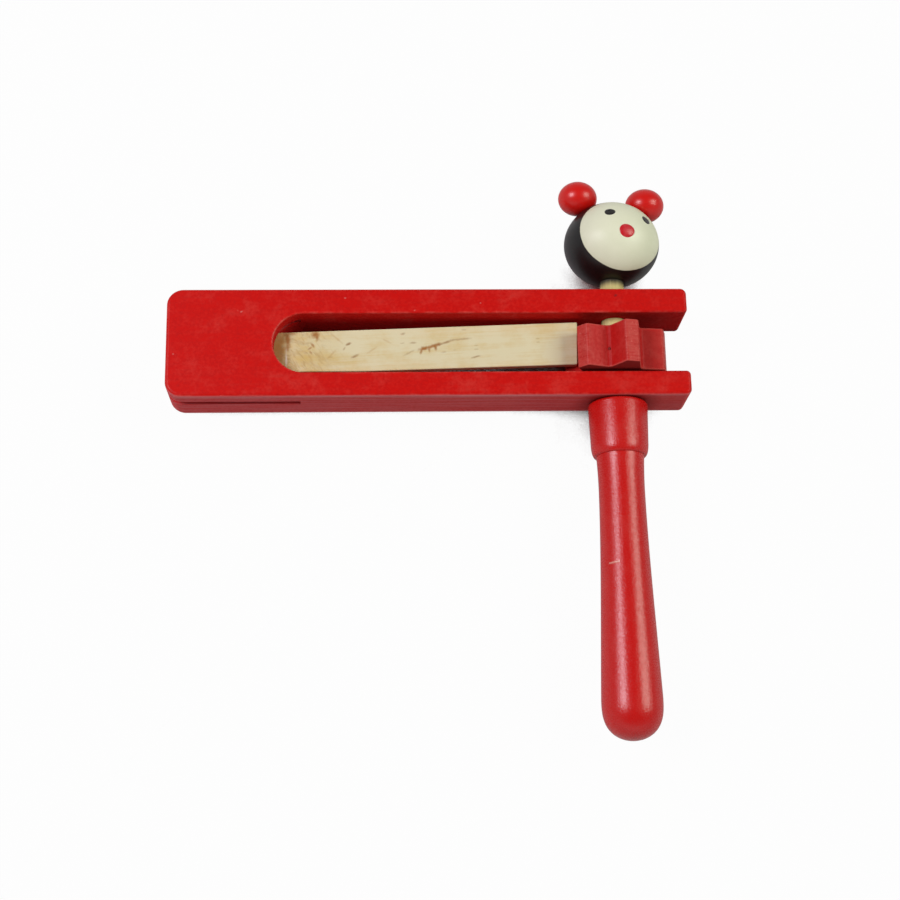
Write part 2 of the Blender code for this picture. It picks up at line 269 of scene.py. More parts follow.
def arc(centre: Sequence[float], radius: float, start: float, end: float,
        steps: int) -> tuple[Array, Array]:
    """Follow an arc: each point is the centre plus the radius times (cos a, sin a).

    Args:
        centre: Centre of the arc in its plane.
        radius: Radius.
        start: First angle in degrees.
        end: Last angle in degrees.
        steps: Number of steps.

    Returns:
        The points, and the directions out from the centre.
    """
    angle = np.radians(np.linspace(start, end, steps + 1))
    out = np.stack([np.cos(angle), np.sin(angle)], axis=-1)
    return np.asarray(centre) + radius * out, out


def rounded_corners(corners: Array, cut: Array, steps: int) -> Array:
    """Round the corners of a closed outline with curves that start a short way from each corner.

    A rounded corner is (1-t)^2 a + 2 t (1-t) c + t^2 b: c is the corner, and a and b lie on its sides.

    Args:
        corners: Corners of the outline.
        cut: How far from each corner the curve starts.
        steps: Points on each rounded corner.

    Returns:
        The rounded outline.
    """
    back = unit(np.roll(corners, 1, axis=0) - corners) * cut[:, None]
    ahead = unit(np.roll(corners, -1, axis=0) - corners) * cut[:, None]
    t = np.linspace(0.0, 1.0, steps)[None, :, None]
    first, middle, last = (corners + back)[:, None], corners[:, None], (corners + ahead)[:, None]
    return ((1 - t)**2 * first + 2 * t * (1 - t) * middle + t**2 * last).reshape(-1, 2)


def carve(target: bpy.types.Object, cutters: Sequence[bpy.types.Object], sharp: float = SHARP) -> None:
    """Cut holes in an object for good, and remove what cut them.

    Args:
        target: The object that is cut.
        cutters: Closed shapes of the holes.
        sharp: Edges that turn more than this, in degrees, stay sharp.
    """
    for cutter in cutters:
        modifier = target.modifiers.new(cutter.name, "BOOLEAN")
        modifier.operation = "DIFFERENCE"
        modifier.solver = "EXACT"
        modifier.object = cutter
    whole = target.data
    depsgraph = bpy.context.evaluated_depsgraph_get()
    carved = bpy.data.meshes.new_from_object(target.evaluated_get(depsgraph))
    target.modifiers.clear()
    target.data = carved
    bpy.data.meshes.remove(whole)
    for cutter in cutters:
        bpy.data.objects.remove(cutter, do_unlink=True)
    shade(target, sharp)


def rotation(axis: str, angle: float) -> Array:
    """Make a rotation matrix about a main axis, the angle in radians."""
    return np.array(Matrix.Rotation(angle, 3, axis))


# Shader maths


@dataclass(frozen=True)
class Noise:
    """Soft noise that lies round one half.

    Attributes:
        scale: Blots per metre, or lines per metre along each axis.
        detail: Number of finer layers.
        rough: Share of each finer layer.
        twist: How far the noise is pulled about.
        angle: Turn of the places about Z in degrees.
    """

    scale: float | Triple
    detail: float = 3.0
    rough: float = 0.5
    twist: float = 0.0
    angle: float = 0.0


@dataclass(frozen=True)
class Specks:
    """Small round specks, one in each of some of the cells of a loose grid.

    Attributes:
        scale: Cells per metre, or cells per metre along each axis.
        size: Radius of a speck as a share of a cell.
        share: Share of the cells that have a speck.
        angle: Turn of the places about Z in degrees.
    """

    scale: float | Triple
    size: float
    share: float
    angle: float = 0.0


class Wire:
    """A shader value. Arithmetic on it adds Math nodes to its graph."""

    def __init__(self, graph: "Graph", socket: bpy.types.NodeSocket) -> None:
        """Wrap an output socket of a graph."""
        self.graph = graph
        self.socket = socket

    def _math(self, operation: str, *values: "Value") -> "Wire":
        """Add a Math node on some values."""
        return self.graph.wire("ShaderNodeMath", 0, {"operation": operation}, dict(enumerate(values)))

    def __add__(self, other: "Value") -> "Wire":
        """Add a value."""
        return self._math("ADD", self, other)

    def __sub__(self, other: "Value") -> "Wire":
        """Take a value away."""
        return self._math("SUBTRACT", self, other)

    def __rsub__(self, other: "Value") -> "Wire":
        """Take this from a value."""
        return self._math("SUBTRACT", other, self)

    def __mul__(self, other: "Value") -> "Wire":
        """Multiply by a value."""
        return self._math("MULTIPLY", self, other)

    def __truediv__(self, other: "Value") -> "Wire":
        """Divide by a value."""
        return self._math("DIVIDE", self, other)

    def __rtruediv__(self, other: "Value") -> "Wire":
        """Divide a value by this."""
        return self._math("DIVIDE", other, self)

    def __abs__(self) -> "Wire":
        """Take the size without its sign."""
        return self._math("ABSOLUTE", self)

    __radd__ = __add__
    __rmul__ = __mul__

    def least(self, other: "Value") -> "Wire":
        """Take the smaller of two values."""
        return self._math("MINIMUM", self, other)

    def most(self, other: "Value") -> "Wire":
        """Take the larger of two values."""
        return self._math("MAXIMUM", self, other)

    def clip(self) -> "Wire":
        """Keep the value between 0 and 1."""
        return self.most(0.0).least(1.0)

    def root(self) -> "Wire":
        """Take the square root."""
        return self._math("SQRT", self)

    def hypot(self, other: "Wire") -> "Wire":
        """Take the root of the sum of two squares."""
        return (self * self + other * other).root()

    def swing(self, weight: float) -> "Wire":
        """Turn noise round one half into noise round zero, with a weight."""
        return (self - 0.5) * weight

    def rise(self, low: float, high: float) -> "Wire":
        """Ease from 0 to 1 as the value goes from low to high."""
        return self.graph.wire("ShaderNodeMapRange", 0, {"interpolation_type": "SMOOTHSTEP"},
                               {"Value": self, "From Min": low, "From Max": high})

    def fall(self, low: float, high: float) -> "Wire":
        """Ease from 1 to 0 as the value goes from low to high."""
        return 1.0 - self.rise(low, high)


Value = Union[Wire, float]


class Graph:
    """The nodes of one material or of the world."""

    def __init__(self, tree: bpy.types.NodeTree) -> None:
        """Start on an empty node tree."""
        self.tree = tree
        tree.nodes.clear()

    def node(self, kind: str, settings: Mapping[str, Any] | None = None,
             sockets: Mapping[Any, Any] | None = None) -> bpy.types.Node:
        """Add any node.

        Args:
            kind: The node's type.
            settings: Its settings, which are set first.
            sockets: Values, wires or sockets for its inputs, by name or number.

        Returns:
            The node.
        """
        node = self.tree.nodes.new(kind)
        for name, value in (settings or {}).items():
            setattr(node, name, value)
        for name, value in (sockets or {}).items():
            socket = node.inputs[name]
            if isinstance(value, Wire):
                value = value.socket
            if isinstance(value, bpy.types.NodeSocket):
                self.tree.links.new(value, socket)
            elif isinstance(value, tuple) and socket.type == "RGBA" and len(value) == 3:
                socket.default_value = (*value, 1.0)
            else:
                socket.default_value = value
        return node

    def wire(self, kind: str, output: str | int, settings: Mapping[str, Any] | None = None,
             sockets: Mapping[Any, Any] | None = None) -> Wire:
        """Add any node and take one of its outputs, by name or number."""
        return Wire(self, self.node(kind, settings, sockets).outputs[output])

    def place(self) -> Wire:
        """Read the place on the object, in metres."""
        return self.wire("ShaderNodeTexCoord", "Object")

    def from_centre(self, centre: Triple) -> Wire:
        """Read the place on the object, measured from a centre."""
        return self.wire("ShaderNodeVectorMath", 0, {"operation": "SUBTRACT"},
                         {0: self.place(), 1: centre})

    def parts(self, vector: Wire) -> tuple[Wire, Wire, Wire]:
        """Split a vector into its three parts."""
        x, y, z = self.node("ShaderNodeSeparateXYZ", None, {0: vector}).outputs
        return Wire(self, x), Wire(self, y), Wire(self, z)

    def parts_mm(self, vector: Wire) -> tuple[Wire, Wire, Wire]:
        """Split a vector in metres into its three parts in millimetres."""
        x, y, z = (part * PER_MM for part in self.parts(vector))
        return x, y, z

    def along(self, vector: Wire, direction: Triple) -> Wire:
        """Measure a vector along a direction."""
        return self.wire("ShaderNodeVectorMath", "Value", {"operation": "DOT_PRODUCT"},
                         {0: vector, 1: direction})

    def laid_out(self, place: Wire, pattern: Noise | Specks) -> dict[str, Any]:
        """Turn and stretch places as a pattern asks.

        Args:
            place: Where the pattern is read.
            pattern: The pattern.

        Returns:
            The vector and the scale of the pattern's texture node.
        """
        vector, scale = place, pattern.scale
        if pattern.angle:
            turn = (0.0, 0.0, math.radians(pattern.angle))
            vector = self.wire("ShaderNodeMapping", 0, None, {"Vector": vector, "Rotation": turn})
        if isinstance(scale, tuple):
            vector = self.wire("ShaderNodeMapping", 0, None, {"Vector": vector, "Scale": scale})
            scale = 1.0
        return {"Vector": vector, "Scale": scale}

    def noise(self, place: Wire, noise: Noise) -> Wire:
        """Read noise at a place."""
        layers = {"Detail": noise.detail, "Roughness": noise.rough, "Distortion": noise.twist}
        return self.wire("ShaderNodeTexNoise", 0, None, {**self.laid_out(place, noise), **layers})

    def specks(self, place: Wire, specks: Specks) -> Wire:
        """Read specks at a place: one on a speck and zero off it.

        Each cell has a random colour, whose red says by chance whether the cell has a speck.

        Args:
            place: Where to read them.
            specks: Their kind.

        Returns:
            The specks.
        """
        cells = self.node("ShaderNodeTexVoronoi", None, self.laid_out(place, specks)).outputs
        chance, _, _ = self.parts(Wire(self, cells["Color"]))
        near = Wire(self, cells["Distance"]).fall(specks.size * 0.5, specks.size)
        return near * chance.fall(specks.share - 0.01, specks.share + 0.01)

    def mix(self, factor: Value, low: Any, high: Any) -> Wire:
        """Mix two colours: the first where the factor is 0, and the second where it is 1."""
        return self.wire("ShaderNodeMix", 2, {"data_type": "RGBA"}, {0: factor, 6: low, 7: high})


@dataclass
class Coat:
    """What changes over a finish: its colour, its roughness and the height of its bumps from 0 to 1."""

    colour: Wire
    roughness: Wire
    height: Wire


# Finishes


@dataclass(frozen=True)
class Finish:
    """A finish of the toy.

    Attributes:
        name: Name of the material.
        ior: Index of refraction of the lacquer or wood.
        relief: Depth of the bumps in metres.
        metallic: One for metal.
    """

    name: str
    ior: float = 1.45
    relief: float = 0.03 * MM
    metallic: float = 0.0

    def coat(self, graph: Graph) -> Coat:
        """Work out the colour, roughness and bumps of the finish."""
        raise NotImplementedError

    def material(self) -> bpy.types.Material:
        """Make the material.

        Returns:
            The material, with the finish's coat on a Principled shader.
        """
        material = bpy.data.materials.new(self.name)
        material.use_nodes = True
        graph = Graph(material.node_tree)
        coat = self.coat(graph)
        bump = graph.node("ShaderNodeBump", None, {
            "Strength": 1.0, "Distance": self.relief, "Height": coat.height})
        shader = graph.node("ShaderNodeBsdfPrincipled", None, {
            "Base Color": coat.colour, "Roughness": coat.roughness, "Normal": bump.outputs[0],
            "IOR": self.ior, "Metallic": self.metallic})
        graph.node("ShaderNodeOutputMaterial", None, {"Surface": shader.outputs[0]})
        return material


@dataclass(frozen=True, kw_only=True)
class Lacquer(Finish):
    """Lacquer on wood: a clouded colour with a fine tooth, faint grain under it and a little dust.

    Attributes:
        colour: Main colour.
        haze: Paler colour of thin or rubbed lacquer.
        deep: Darker colour of thick lacquer, and of the painted shade on the frame.
        bare: Colour of dust, a worn edge or a scratch.
        gloss: Roughness.
        cloud: How much of the haze shows.
        mottle: How much of the darker colour shows in the tooth.
        patchy: How much the tooth changes the roughness.
        clouds: Noise of the haze.
        cloud_range: Where in that noise the haze starts, and where it is full.
        tooth: Noise of the fine bumps.
        grain: Noise of the wood under the lacquer.
        dust: Pale specks.
    """

    colour: Colour = (0.570, 0.0026, 0.0012)
    haze: Colour = (0.610, 0.055, 0.042)
    deep: Colour = (0.260, 0.0010, 0.0008)
    bare: Colour = (0.680, 0.190, 0.150)
    gloss: float
    cloud: float
    mottle: float = 1.0
    patchy: float = 1.0
    clouds: Noise = Noise(130.0, 6.0, 0.66, 0.3)
    cloud_range: Range = (0.44, 0.78)
    tooth: Noise = Noise(1000.0, 3.0, 0.68)
    grain: Noise = Noise((50.0, 800.0, 800.0), 4.0, 0.6)
    dust: Specks = Specks(115.0, 0.030, 0.12)

    def worn(self, graph: Graph, place: Wire, tooth: Wire) -> Wire | None:
        """Say where the lacquer is worn off; none where it isn't."""
        return None

    def tint(self, graph: Graph, place: Wire) -> Value:
        """Add to the haze where a piece has more of it."""
        return 0.0

    def coat(self, graph: Graph) -> Coat:
        """Cloud the colour with haze, add dust and wear, and raise the tooth and the grain.

        Args:
            graph: The material's graph.

        Returns:
            The coat.
        """
        place = graph.place()
        kinds = (self.clouds, self.tooth, self.grain)
        clouds, tooth, grain = (graph.noise(place, noise) for noise in kinds)
        darkened = (tooth.swing(0.9) + grain.swing(0.3) + 0.06) * self.mottle
        colour = graph.mix(darkened.most(0.0), self.colour, self.deep)
        haze = (clouds.rise(*self.cloud_range) * 1.5 - tooth.swing(2.4) + grain.swing(1.2)) * self.cloud
        colour = graph.mix((haze + self.tint(graph, place)).clip(), colour, self.haze)
        dust = graph.specks(place, self.dust)
        colour = graph.mix(dust * 0.55, colour, self.bare)
        roughness = self.gloss * (0.90 + clouds * 0.2 + tooth.swing(self.patchy)) + dust * 0.10
        height = tooth * 0.45 + grain * 0.4 + dust * 0.15
        worn = self.worn(graph, place, tooth)
        if worn is not None:
            colour = graph.mix(worn, colour, self.bare)
            roughness = roughness - worn * 0.15
            height = height - worn * 0.2
        return Coat(colour, roughness, height)


@dataclass(frozen=True)
class Mark:
    """A stain, fleck or chip, as a soft ellipse in millimetres.

    Attributes:
        x: Place along the piece.
        y: Place across the piece.
        length: Half its length.
        width: Half its width.
        lean: Angle of its length in degrees.
        strength: How much of its colour shows.
        colour: Its colour.
        soft: Where it starts to fade and where it ends, in radii of the ellipse.
    """

    x: float
    y: float
    length: float
    width: float
    lean: float
    strength: float
    colour: Colour = (0.270, 0.125, 0.038)
    soft: Range = (0.15, 1.25)

    def over(self, x: Wire, y: Wire, ragged: Wire) -> Wire:
        """Say how much of the mark's colour shows: it falls off with the distance from its middle.

        The distance is counted in radii of the ellipse, and noise round zero is added to it.

        Args:
            x: Place along the piece in millimetres.
            y: Place across the piece in millimetres.
            ragged: The noise.

        Returns:
            The share of the mark's colour.
        """
        along, over = math.cos(math.radians(self.lean)), math.sin(math.radians(self.lean))
        right, up = x - self.x, y - self.y
        run = (right * along + up * over) / self.length
        rise = (up * along - right * over) / self.width
        return (run.hypot(rise) + ragged).fall(*self.soft) * self.strength


@dataclass(frozen=True, kw_only=True)
class FrameLacquer(Lacquer):
    """Matt lacquer of the frame, thin along the edges and streaky on the sawn sides, with painted light
    and shade.

    Places are in millimetres, and each pair of distances eases from one to the other.

    Attributes:
        middle: Middle of the block.
        half: Half the block's length, height and depth.
        slot_start: X of the middle of the slot's round end.
        slot_middle: Y of the slot's middle.
        slot_half: Half the slot's height.
        shaft: X and Z of the shaft.
        marks: Single chips and specks on the front.
        sawn: Paler colour of the sawn sides, in streaks: thinner lacquer, and partly painted sheen.
        sheen_and_greying: Colour of the painted highlight along the edges of both faces.
        patches: Noise that breaks up the worn edges.
        streaks: Noise of the saw's streaks.
        ragged: Noise that frays the marks.
        edge_wear: How near an edge it is worn.
        rim_sheen: How near the rim of the slot's round end its painted highlight, with some wear, lies.
        rim_sheen_reach: How far into the round end that begins.
        sawn_depth: How far behind a face the sawn side begins.
        wall_reach: How near the slot's wall counts as in the slot.
        end_reach: How near the frame's ends counts as an end.
        sheen_start: How far behind a face the painted highlight along the edges begins.
        sheen_end: How far behind a face it ends.
        shade_depth: How deep in the slot the painted shade grows.
        shade_mouth: How far past the shaft the painted shade in the slot grows.
        collar_shadow_reach: How near the shaft's axis the painted shadow of the collar lies below the
            frame.
        collar_shadow_drop: How far below the frame's middle that begins.
        front_depth: How far behind the front the marks end.
    """

    middle: Triple
    half: Triple
    slot_start: float
    slot_middle: float
    slot_half: float
    shaft: Range
    marks: tuple[Mark, ...]
    sawn: Colour = (0.620, 0.140, 0.148)
    sheen_and_greying: Colour = (0.660, 0.330, 0.335)
    patches: Noise = Noise(210.0, 4.0, 0.65)
    streaks: Noise = Noise((28.0, 900.0, 900.0), 4.0, 0.7)
    ragged: Noise = Noise(1500.0, 2.0)
    edge_wear: Range = (0.05, 0.85)
    rim_sheen: Range = (0.10, 0.45)
    rim_sheen_reach: Range = (3.0, 8.0)
    sawn_depth: Range = (0.15, 1.1)
    wall_reach: Range = (0.3, 0.9)
    end_reach: Range = (0.2, 1.2)
    sheen_start: Range = (0.25, 0.8)
    sheen_end: Range = (0.9, 2.6)
    shade_depth: Range = (11.0, 17.0)
    shade_mouth: Range = (1.0, 12.0)
    collar_shadow_reach: Range = (9.5, 15.5)
    collar_shadow_drop: Range = (1.0, 6.0)
    front_depth: Range = (0.3, 0.6)

    def slot_wall(self, x: Wire, y: Wire) -> Wire:
        """Measure how far a place is from the slot's wall, in millimetres."""
        along, level = (self.slot_start - x).most(0.0), y - self.slot_middle
        return abs(along.hypot(level) - self.slot_half)

    def worn(self, graph: Graph, place: Wire, tooth: Wire) -> Wire | None:
        """Wear the edges, broken up with noise, and paint a highlight with some wear along the rim of
        the slot's round end.

        On a block the edge's distance is the middle one of the distances to its three pairs of faces. On
        the slot it is the larger of the distances to the slot's wall and to the front or back.

        Args:
            graph: The material's graph.
            place: Place on the frame.
            tooth: Fine noise.

        Returns:
            How worn each place is.
        """
        x, y, z = graph.parts_mm(place)
        across, over, out = (half - abs(part - middle)
                             for part, middle, half in zip((x, y, z), self.middle, self.half))
        block_edge = across.least(over).most(across.most(over).least(out))
        slot_edge = self.slot_wall(x, y).most(out)
        patches = graph.noise(place, self.patches).rise(0.40, 0.70)
        thin = (block_edge.least(slot_edge) + tooth.swing(0.6)).fall(*self.edge_wear)
        # Painted highlight, with some wear, along the rim of the slot's round end.
        rim = (slot_edge + tooth.swing(0.3)).fall(*self.rim_sheen)
        rim = rim * (self.slot_start - x).rise(*self.rim_sheen_reach)
        return thin * patches * 0.30 + rim * 0.25

    def darkened(self, place: tuple[Wire, Wire, Wire], inside: Wire, outer_side: Wire) -> Wire:
        """Say where painted shade darkens the lacquer: deep in the slot, towards its mouth and round the
        collar.

        Args:
            place: Place on the frame in millimetres.
            inside: One on the slot's wall.
            outer_side: One on the sawn sides outside the slot.

        Returns:
            How much painted shade there is.
        """
        x, y, z = place
        depth, across, out = self.middle[2] + self.half[2] - z, x - self.shaft[0], z - self.shaft[1]
        # Painted shade deep in the slot and towards its open end.
        slot_shade = (depth.rise(*self.shade_depth) * 0.8).most(across.rise(*self.shade_mouth) * 0.38)
        # Painted shadow of the handle's collar on the frame's lower side.
        collar = across.hypot(out).fall(*self.collar_shadow_reach)
        collar = collar * (self.middle[1] - y).rise(*self.collar_shadow_drop)
        return (inside * slot_shade).most(collar * outer_side * 0.65)

    def coat(self, graph: Graph) -> Coat:
        """Leave the sawn sides duller and streakier than the faces, and add the painted light and shade,
        and the marks.

        Args:
            graph: The material's graph.

        Returns:
            The coat.
        """
        coat = super().coat(graph)
        place = graph.place()
        x, y, z = graph.parts_mm(place)
        depth = self.half[2] - abs(z - self.middle[2])
        sawn = depth.rise(*self.sawn_depth)
        streaks = graph.noise(place, self.streaks)
        inside = self.slot_wall(x, y).fall(*self.wall_reach)
        outer_side = sawn * (1.0 - inside)
        ends = (self.half[0] - abs(x - self.middle[0])).fall(*self.end_reach)
        # Paler streaks on the sawn sides: thinner lacquer, and partly painted sheen.
        pale = outer_side * (1.0 - ends * 0.75) * (0.18 + streaks.rise(0.36, 0.66) * 0.42)
        coat.colour = graph.mix(pale, coat.colour, self.sawn)
        # Painted highlight: a pale band just behind the edges of both faces, where the rounded edges
        # catch the light.
        sheen_and_greying = depth.rise(*self.sheen_start) * depth.fall(*self.sheen_end) * (1.0 - inside) * (1.0 - ends)
        coat.colour = graph.mix(sheen_and_greying * (0.06 + streaks * 0.5), coat.colour, self.sheen_and_greying)
        # Painted shade in the slot and painted shadow round the collar, mixed towards the deep colour.
        coat.colour = graph.mix(self.darkened((x, y, z), inside, outer_side), coat.colour, self.deep)
        coat.roughness = coat.roughness + sawn * (0.14 + streaks * 0.2) + inside * sawn * 0.3
        ragged = graph.noise(place, self.ragged).swing(1.2)
        front = (self.middle[2] + self.half[2] - z).fall(*self.front_depth)
        for mark in self.marks:
            coat.colour = graph.mix(mark.over(x, y, ragged) * front, coat.colour, mark.colour)
        return coat


@dataclass(frozen=True, kw_only=True)
class GearLacquer(Lacquer):
    """Lacquer of the gear, rubbed pale at the tips of its teeth and along its edges, with painted shade
    on both faces.

    Places are in millimetres, and each pair of distances eases from one to the other.

    Attributes:
        axis: X and Z of the shaft.
        faces: Y of the gear's two faces.
        tip: Radius of the tips.
        shaded_face: Colour of the painted shade on both faces.
        strokes: Noise of the strokes across the tips.
        chips: Noise of the chips in the tips.
        tip_haze: How far past the tip the haze shows.
        tip_wear: How far past the tip it is worn.
        chip_reach: How far past the tip the chips show.
        edge_wear: How near a face the edge is worn.
        edge_radius: How far from the axis the edge is worn.
        face_shade_depth: How deep into a face the painted shade goes.
    """

    axis: Range
    faces: Range
    tip: float
    shaded_face: Colour = (0.160, 0.002, 0.002)
    strokes: Noise = Noise((260.0, 1500.0, 260.0), 4.0, 0.65)
    chips: Noise = Noise(1300.0, 2.0)
    tip_haze: Range = (-4.2, -0.6)
    tip_wear: Range = (-0.9, 0.5)
    chip_reach: Range = (-0.9, -0.2)
    edge_wear: Range = (0.10, 0.75)
    edge_radius: Range = (9.0, 10.5)
    face_shade_depth: Range = (0.01, 0.16)

    def radius(self, graph: Graph, place: Wire) -> Wire:
        """Measure the distance from the shaft's axis in millimetres."""
        x, _, z = graph.parts_mm(place)
        return (x - self.axis[0]).hypot(z - self.axis[1])

    def depth(self, graph: Graph, place: Wire) -> Wire:
        """Measure the distance from the nearer face in millimetres."""
        _, level, _ = graph.parts_mm(place)
        return (level - self.faces[0]).least(self.faces[1] - level)

    def tint(self, graph: Graph, place: Wire) -> Value:
        """Rub the teeth paler towards their tips."""
        return (self.radius(graph, place) - self.tip).rise(*self.tip_haze) * 0.12

    def worn(self, graph: Graph, place: Wire, tooth: Wire) -> Wire | None:
        """Wear the tips in short strokes across the teeth, and the edges of both faces.

        Args:
            graph: The material's graph.
            place: Place on the gear.
            tooth: Fine noise.

        Returns:
            How worn each place is.
        """
        radius = self.radius(graph, place)
        from_tip = radius - self.tip
        tips = (from_tip + graph.noise(place, self.strokes).swing(3.0)).rise(*self.tip_wear)
        edges = (self.depth(graph, place) + tooth.swing(0.6)).fall(*self.edge_wear)
        edges = edges * radius.rise(*self.edge_radius)
        chips = graph.noise(place, self.chips).rise(0.60, 0.68) * from_tip.rise(*self.chip_reach)
        return (tips * 0.24).most(edges * 0.30).most(chips * 0.38)

    def coat(self, graph: Graph) -> Coat:
        """Paint shade over both faces, on top of the rest of the coat.

        Args:
            graph: The material's graph.

        Returns:
            The coat.
        """
        coat = super().coat(graph)
        # Painted shade over both faces of the gear.
        face_shade = self.depth(graph, graph.place()).fall(*self.face_shade_depth)
        coat.colour = graph.mix(face_shade * 0.85, coat.colour, self.shaded_face)
        coat.roughness = coat.roughness + face_shade * 0.35
        return coat


@dataclass(frozen=True, kw_only=True)
class ScratchedLacquer(Lacquer):
    """Lacquer with one scratch through it.

    Attributes:
        start: First end of the scratch.
        end: Last end of the scratch.
        width: How far in millimetres from its line the scratch starts to fade, and where it ends.
        widening: How much wider in millimetres it is at its last end.
    """

    start: Triple
    end: Triple
    width: Range = (0.12, 0.38)
    widening: float = 0.08

    def worn(self, graph: Graph, place: Wire, tooth: Wire) -> Wire | None:
        """Mark the places near the scratch: their distance from the line between its ends.

        Args:
            graph: The material's graph.
            place: Place on the piece.
            tooth: Fine noise.

        Returns:
            How worn each place is.
        """
        line = Vector(self.end) - Vector(self.start)
        offset = graph.from_centre(self.start)
        share = graph.along(offset, tuple(line / line.length_squared)).clip()
        foot = graph.wire("ShaderNodeVectorMath", 0, {"operation": "SCALE"},
                          {0: tuple(line), "Scale": share})
        gap = graph.wire("ShaderNodeVectorMath", "Value", {"operation": "DISTANCE"},
                         {0: offset, 1: foot})
        distance = gap * PER_MM - share * self.widening + tooth.swing(0.2)
        return distance.fall(*self.width) * 0.8


@dataclass(frozen=True)
class BareWood(Finish):
    """Bare pale wood with fine fibres, short rays and flecks.

    Attributes:
        pale: Main colour.
        warm: Colour of the darker fibres.
        fleck: Colour of the rays.
        smudge: Colour of the smudges in the warmer wood.
        grey: Greyer colour of the wood towards one end.
        black: Colour of the painted shade that the head casts on the wood.
        fibres: Lines per metre along each axis; the fibres run along the axis with the fewest.
        flecks: Share of cells that hold a ray.
        lean: Angle in degrees by which the fibres rise across the piece's face.
        curl: Noise of the curled grain in the warmer wood.
        scuffs: Noise of the scuffs in the warmer wood.
        blots: Noise of the large blots.
        torn: Noise that frays the marks.
        marks: Single stains and flecks.
        warm_from: X in millimetres where the wood is warmest, and where that ends.
        grey_from: X in millimetres where the greying starts, and where it is full.
        head_shade_from: Y in millimetres where the painted shade starts, and where it is full.
    """

    pale: Colour = (0.705, 0.640, 0.410)
    warm: Colour = (0.610, 0.435, 0.140)
    fleck: Colour = (0.360, 0.230, 0.085)
    smudge: Colour = (0.440, 0.275, 0.090)
    grey: Colour = (0.330, 0.235, 0.160)
    black: Colour = (0.009, 0.007, 0.006)
    fibres: Triple = (60.0, 1100.0, 1100.0)
    flecks: float = 0.10
    lean: float = 0.0
    curl: Noise = Noise((120.0, 300.0, 300.0), 4.0, 0.65, 1.6, 38.0)
    scuffs: Noise = Noise((260.0, 900.0, 900.0), 3.0, 0.6, 0.6, 52.0)
    blots: Noise = Noise(120.0, 5.0, 0.62)
    torn: Noise = Noise(700.0, 3.0, 0.6)
    marks: tuple[Mark, ...] = ()
    warm_from: Range | None = None
    grey_from: Range | None = None
    head_shade_from: Range | None = None

    def scaled(self, along: float, across: float) -> Triple:
        """Scale the fibres along and across themselves."""
        fewest = min(self.fibres)
        return tuple(lines * (along if lines == fewest else across) for lines in self.fibres)

    def warmed(self, graph: Graph, place: Wire, colour: Wire, toward_root: Wire, blots: Wire) -> Wire:
        """Warm the wood in curls and blots, and smudge it.

        Args:
            graph: The material's graph.
            place: Place on the piece.
            colour: Colour of the wood.
            toward_root: One where the wood is warmest.
            blots: Noise of the blots.

        Returns:
            The warmed colour.
        """
        curl, scuffs = (graph.noise(place, noise) for noise in (self.curl, self.scuffs))
        warmth = toward_root * (0.60 + curl.swing(2.2) + blots.swing(2.2))
        colour = graph.mix(warmth.clip(), colour, self.warm)
        smudges = curl.fall(0.36, 0.54) * 0.5 + scuffs.fall(0.34, 0.48) * 0.45
        return graph.mix((toward_root * smudges).least(1.0), colour, self.smudge)

    def coat(self, graph: Graph) -> Coat:
        """Lay fibres, rays and stains over the pale wood, and raise the fibres.

        Args:
            graph: The material's graph.

        Returns:
            The coat.
        """
        place = graph.place()
        x, y, _ = graph.parts_mm(place)
        fibre = graph.noise(place, Noise(self.fibres, 5.0, 0.68, angle=-self.lean))
        bands = graph.noise(place, Noise(self.scaled(0.25, 0.25), 3.0, 0.55, 0.8, -self.lean))
        blots = graph.noise(place, self.blots)
        warmth = fibre.swing(1.3) + bands.swing(0.9) + blots.swing(1.7) + 0.12
        colour = graph.mix(warmth.clip(), self.pale, self.warm)
        if self.warm_from:
            toward_root = x.rise(*self.warm_from).fall(0.0, 1.0)
            colour = self.warmed(graph, place, colour, toward_root, blots)
        rays = graph.specks(place, Specks(self.scaled(5.0, 0.75), 0.32, self.flecks, -self.lean))
        colour = graph.mix(rays * 0.32, colour, self.fleck)
        if self.grey_from:
            sheen_and_greying = x.rise(*self.grey_from) * (0.03 + blots.swing(0.8)).most(0.0)
            colour = graph.mix(sheen_and_greying.least(0.6), colour, self.grey)
        ragged = graph.noise(place, self.torn).swing(1.3) + fibre.swing(0.8)
        for mark in self.marks:
            colour = graph.mix(mark.over(x, y, ragged), colour, mark.colour)
        # Painted shade of the head over the top of the neck.
        if self.head_shade_from:
            run = (y + fibre.swing(1.2)).rise(*self.head_shade_from)
            colour = graph.mix(run * 0.96, colour, self.black)
        return Coat(colour, 0.62 + fibre.swing(0.25), fibre * 0.8 + bands * 0.2)


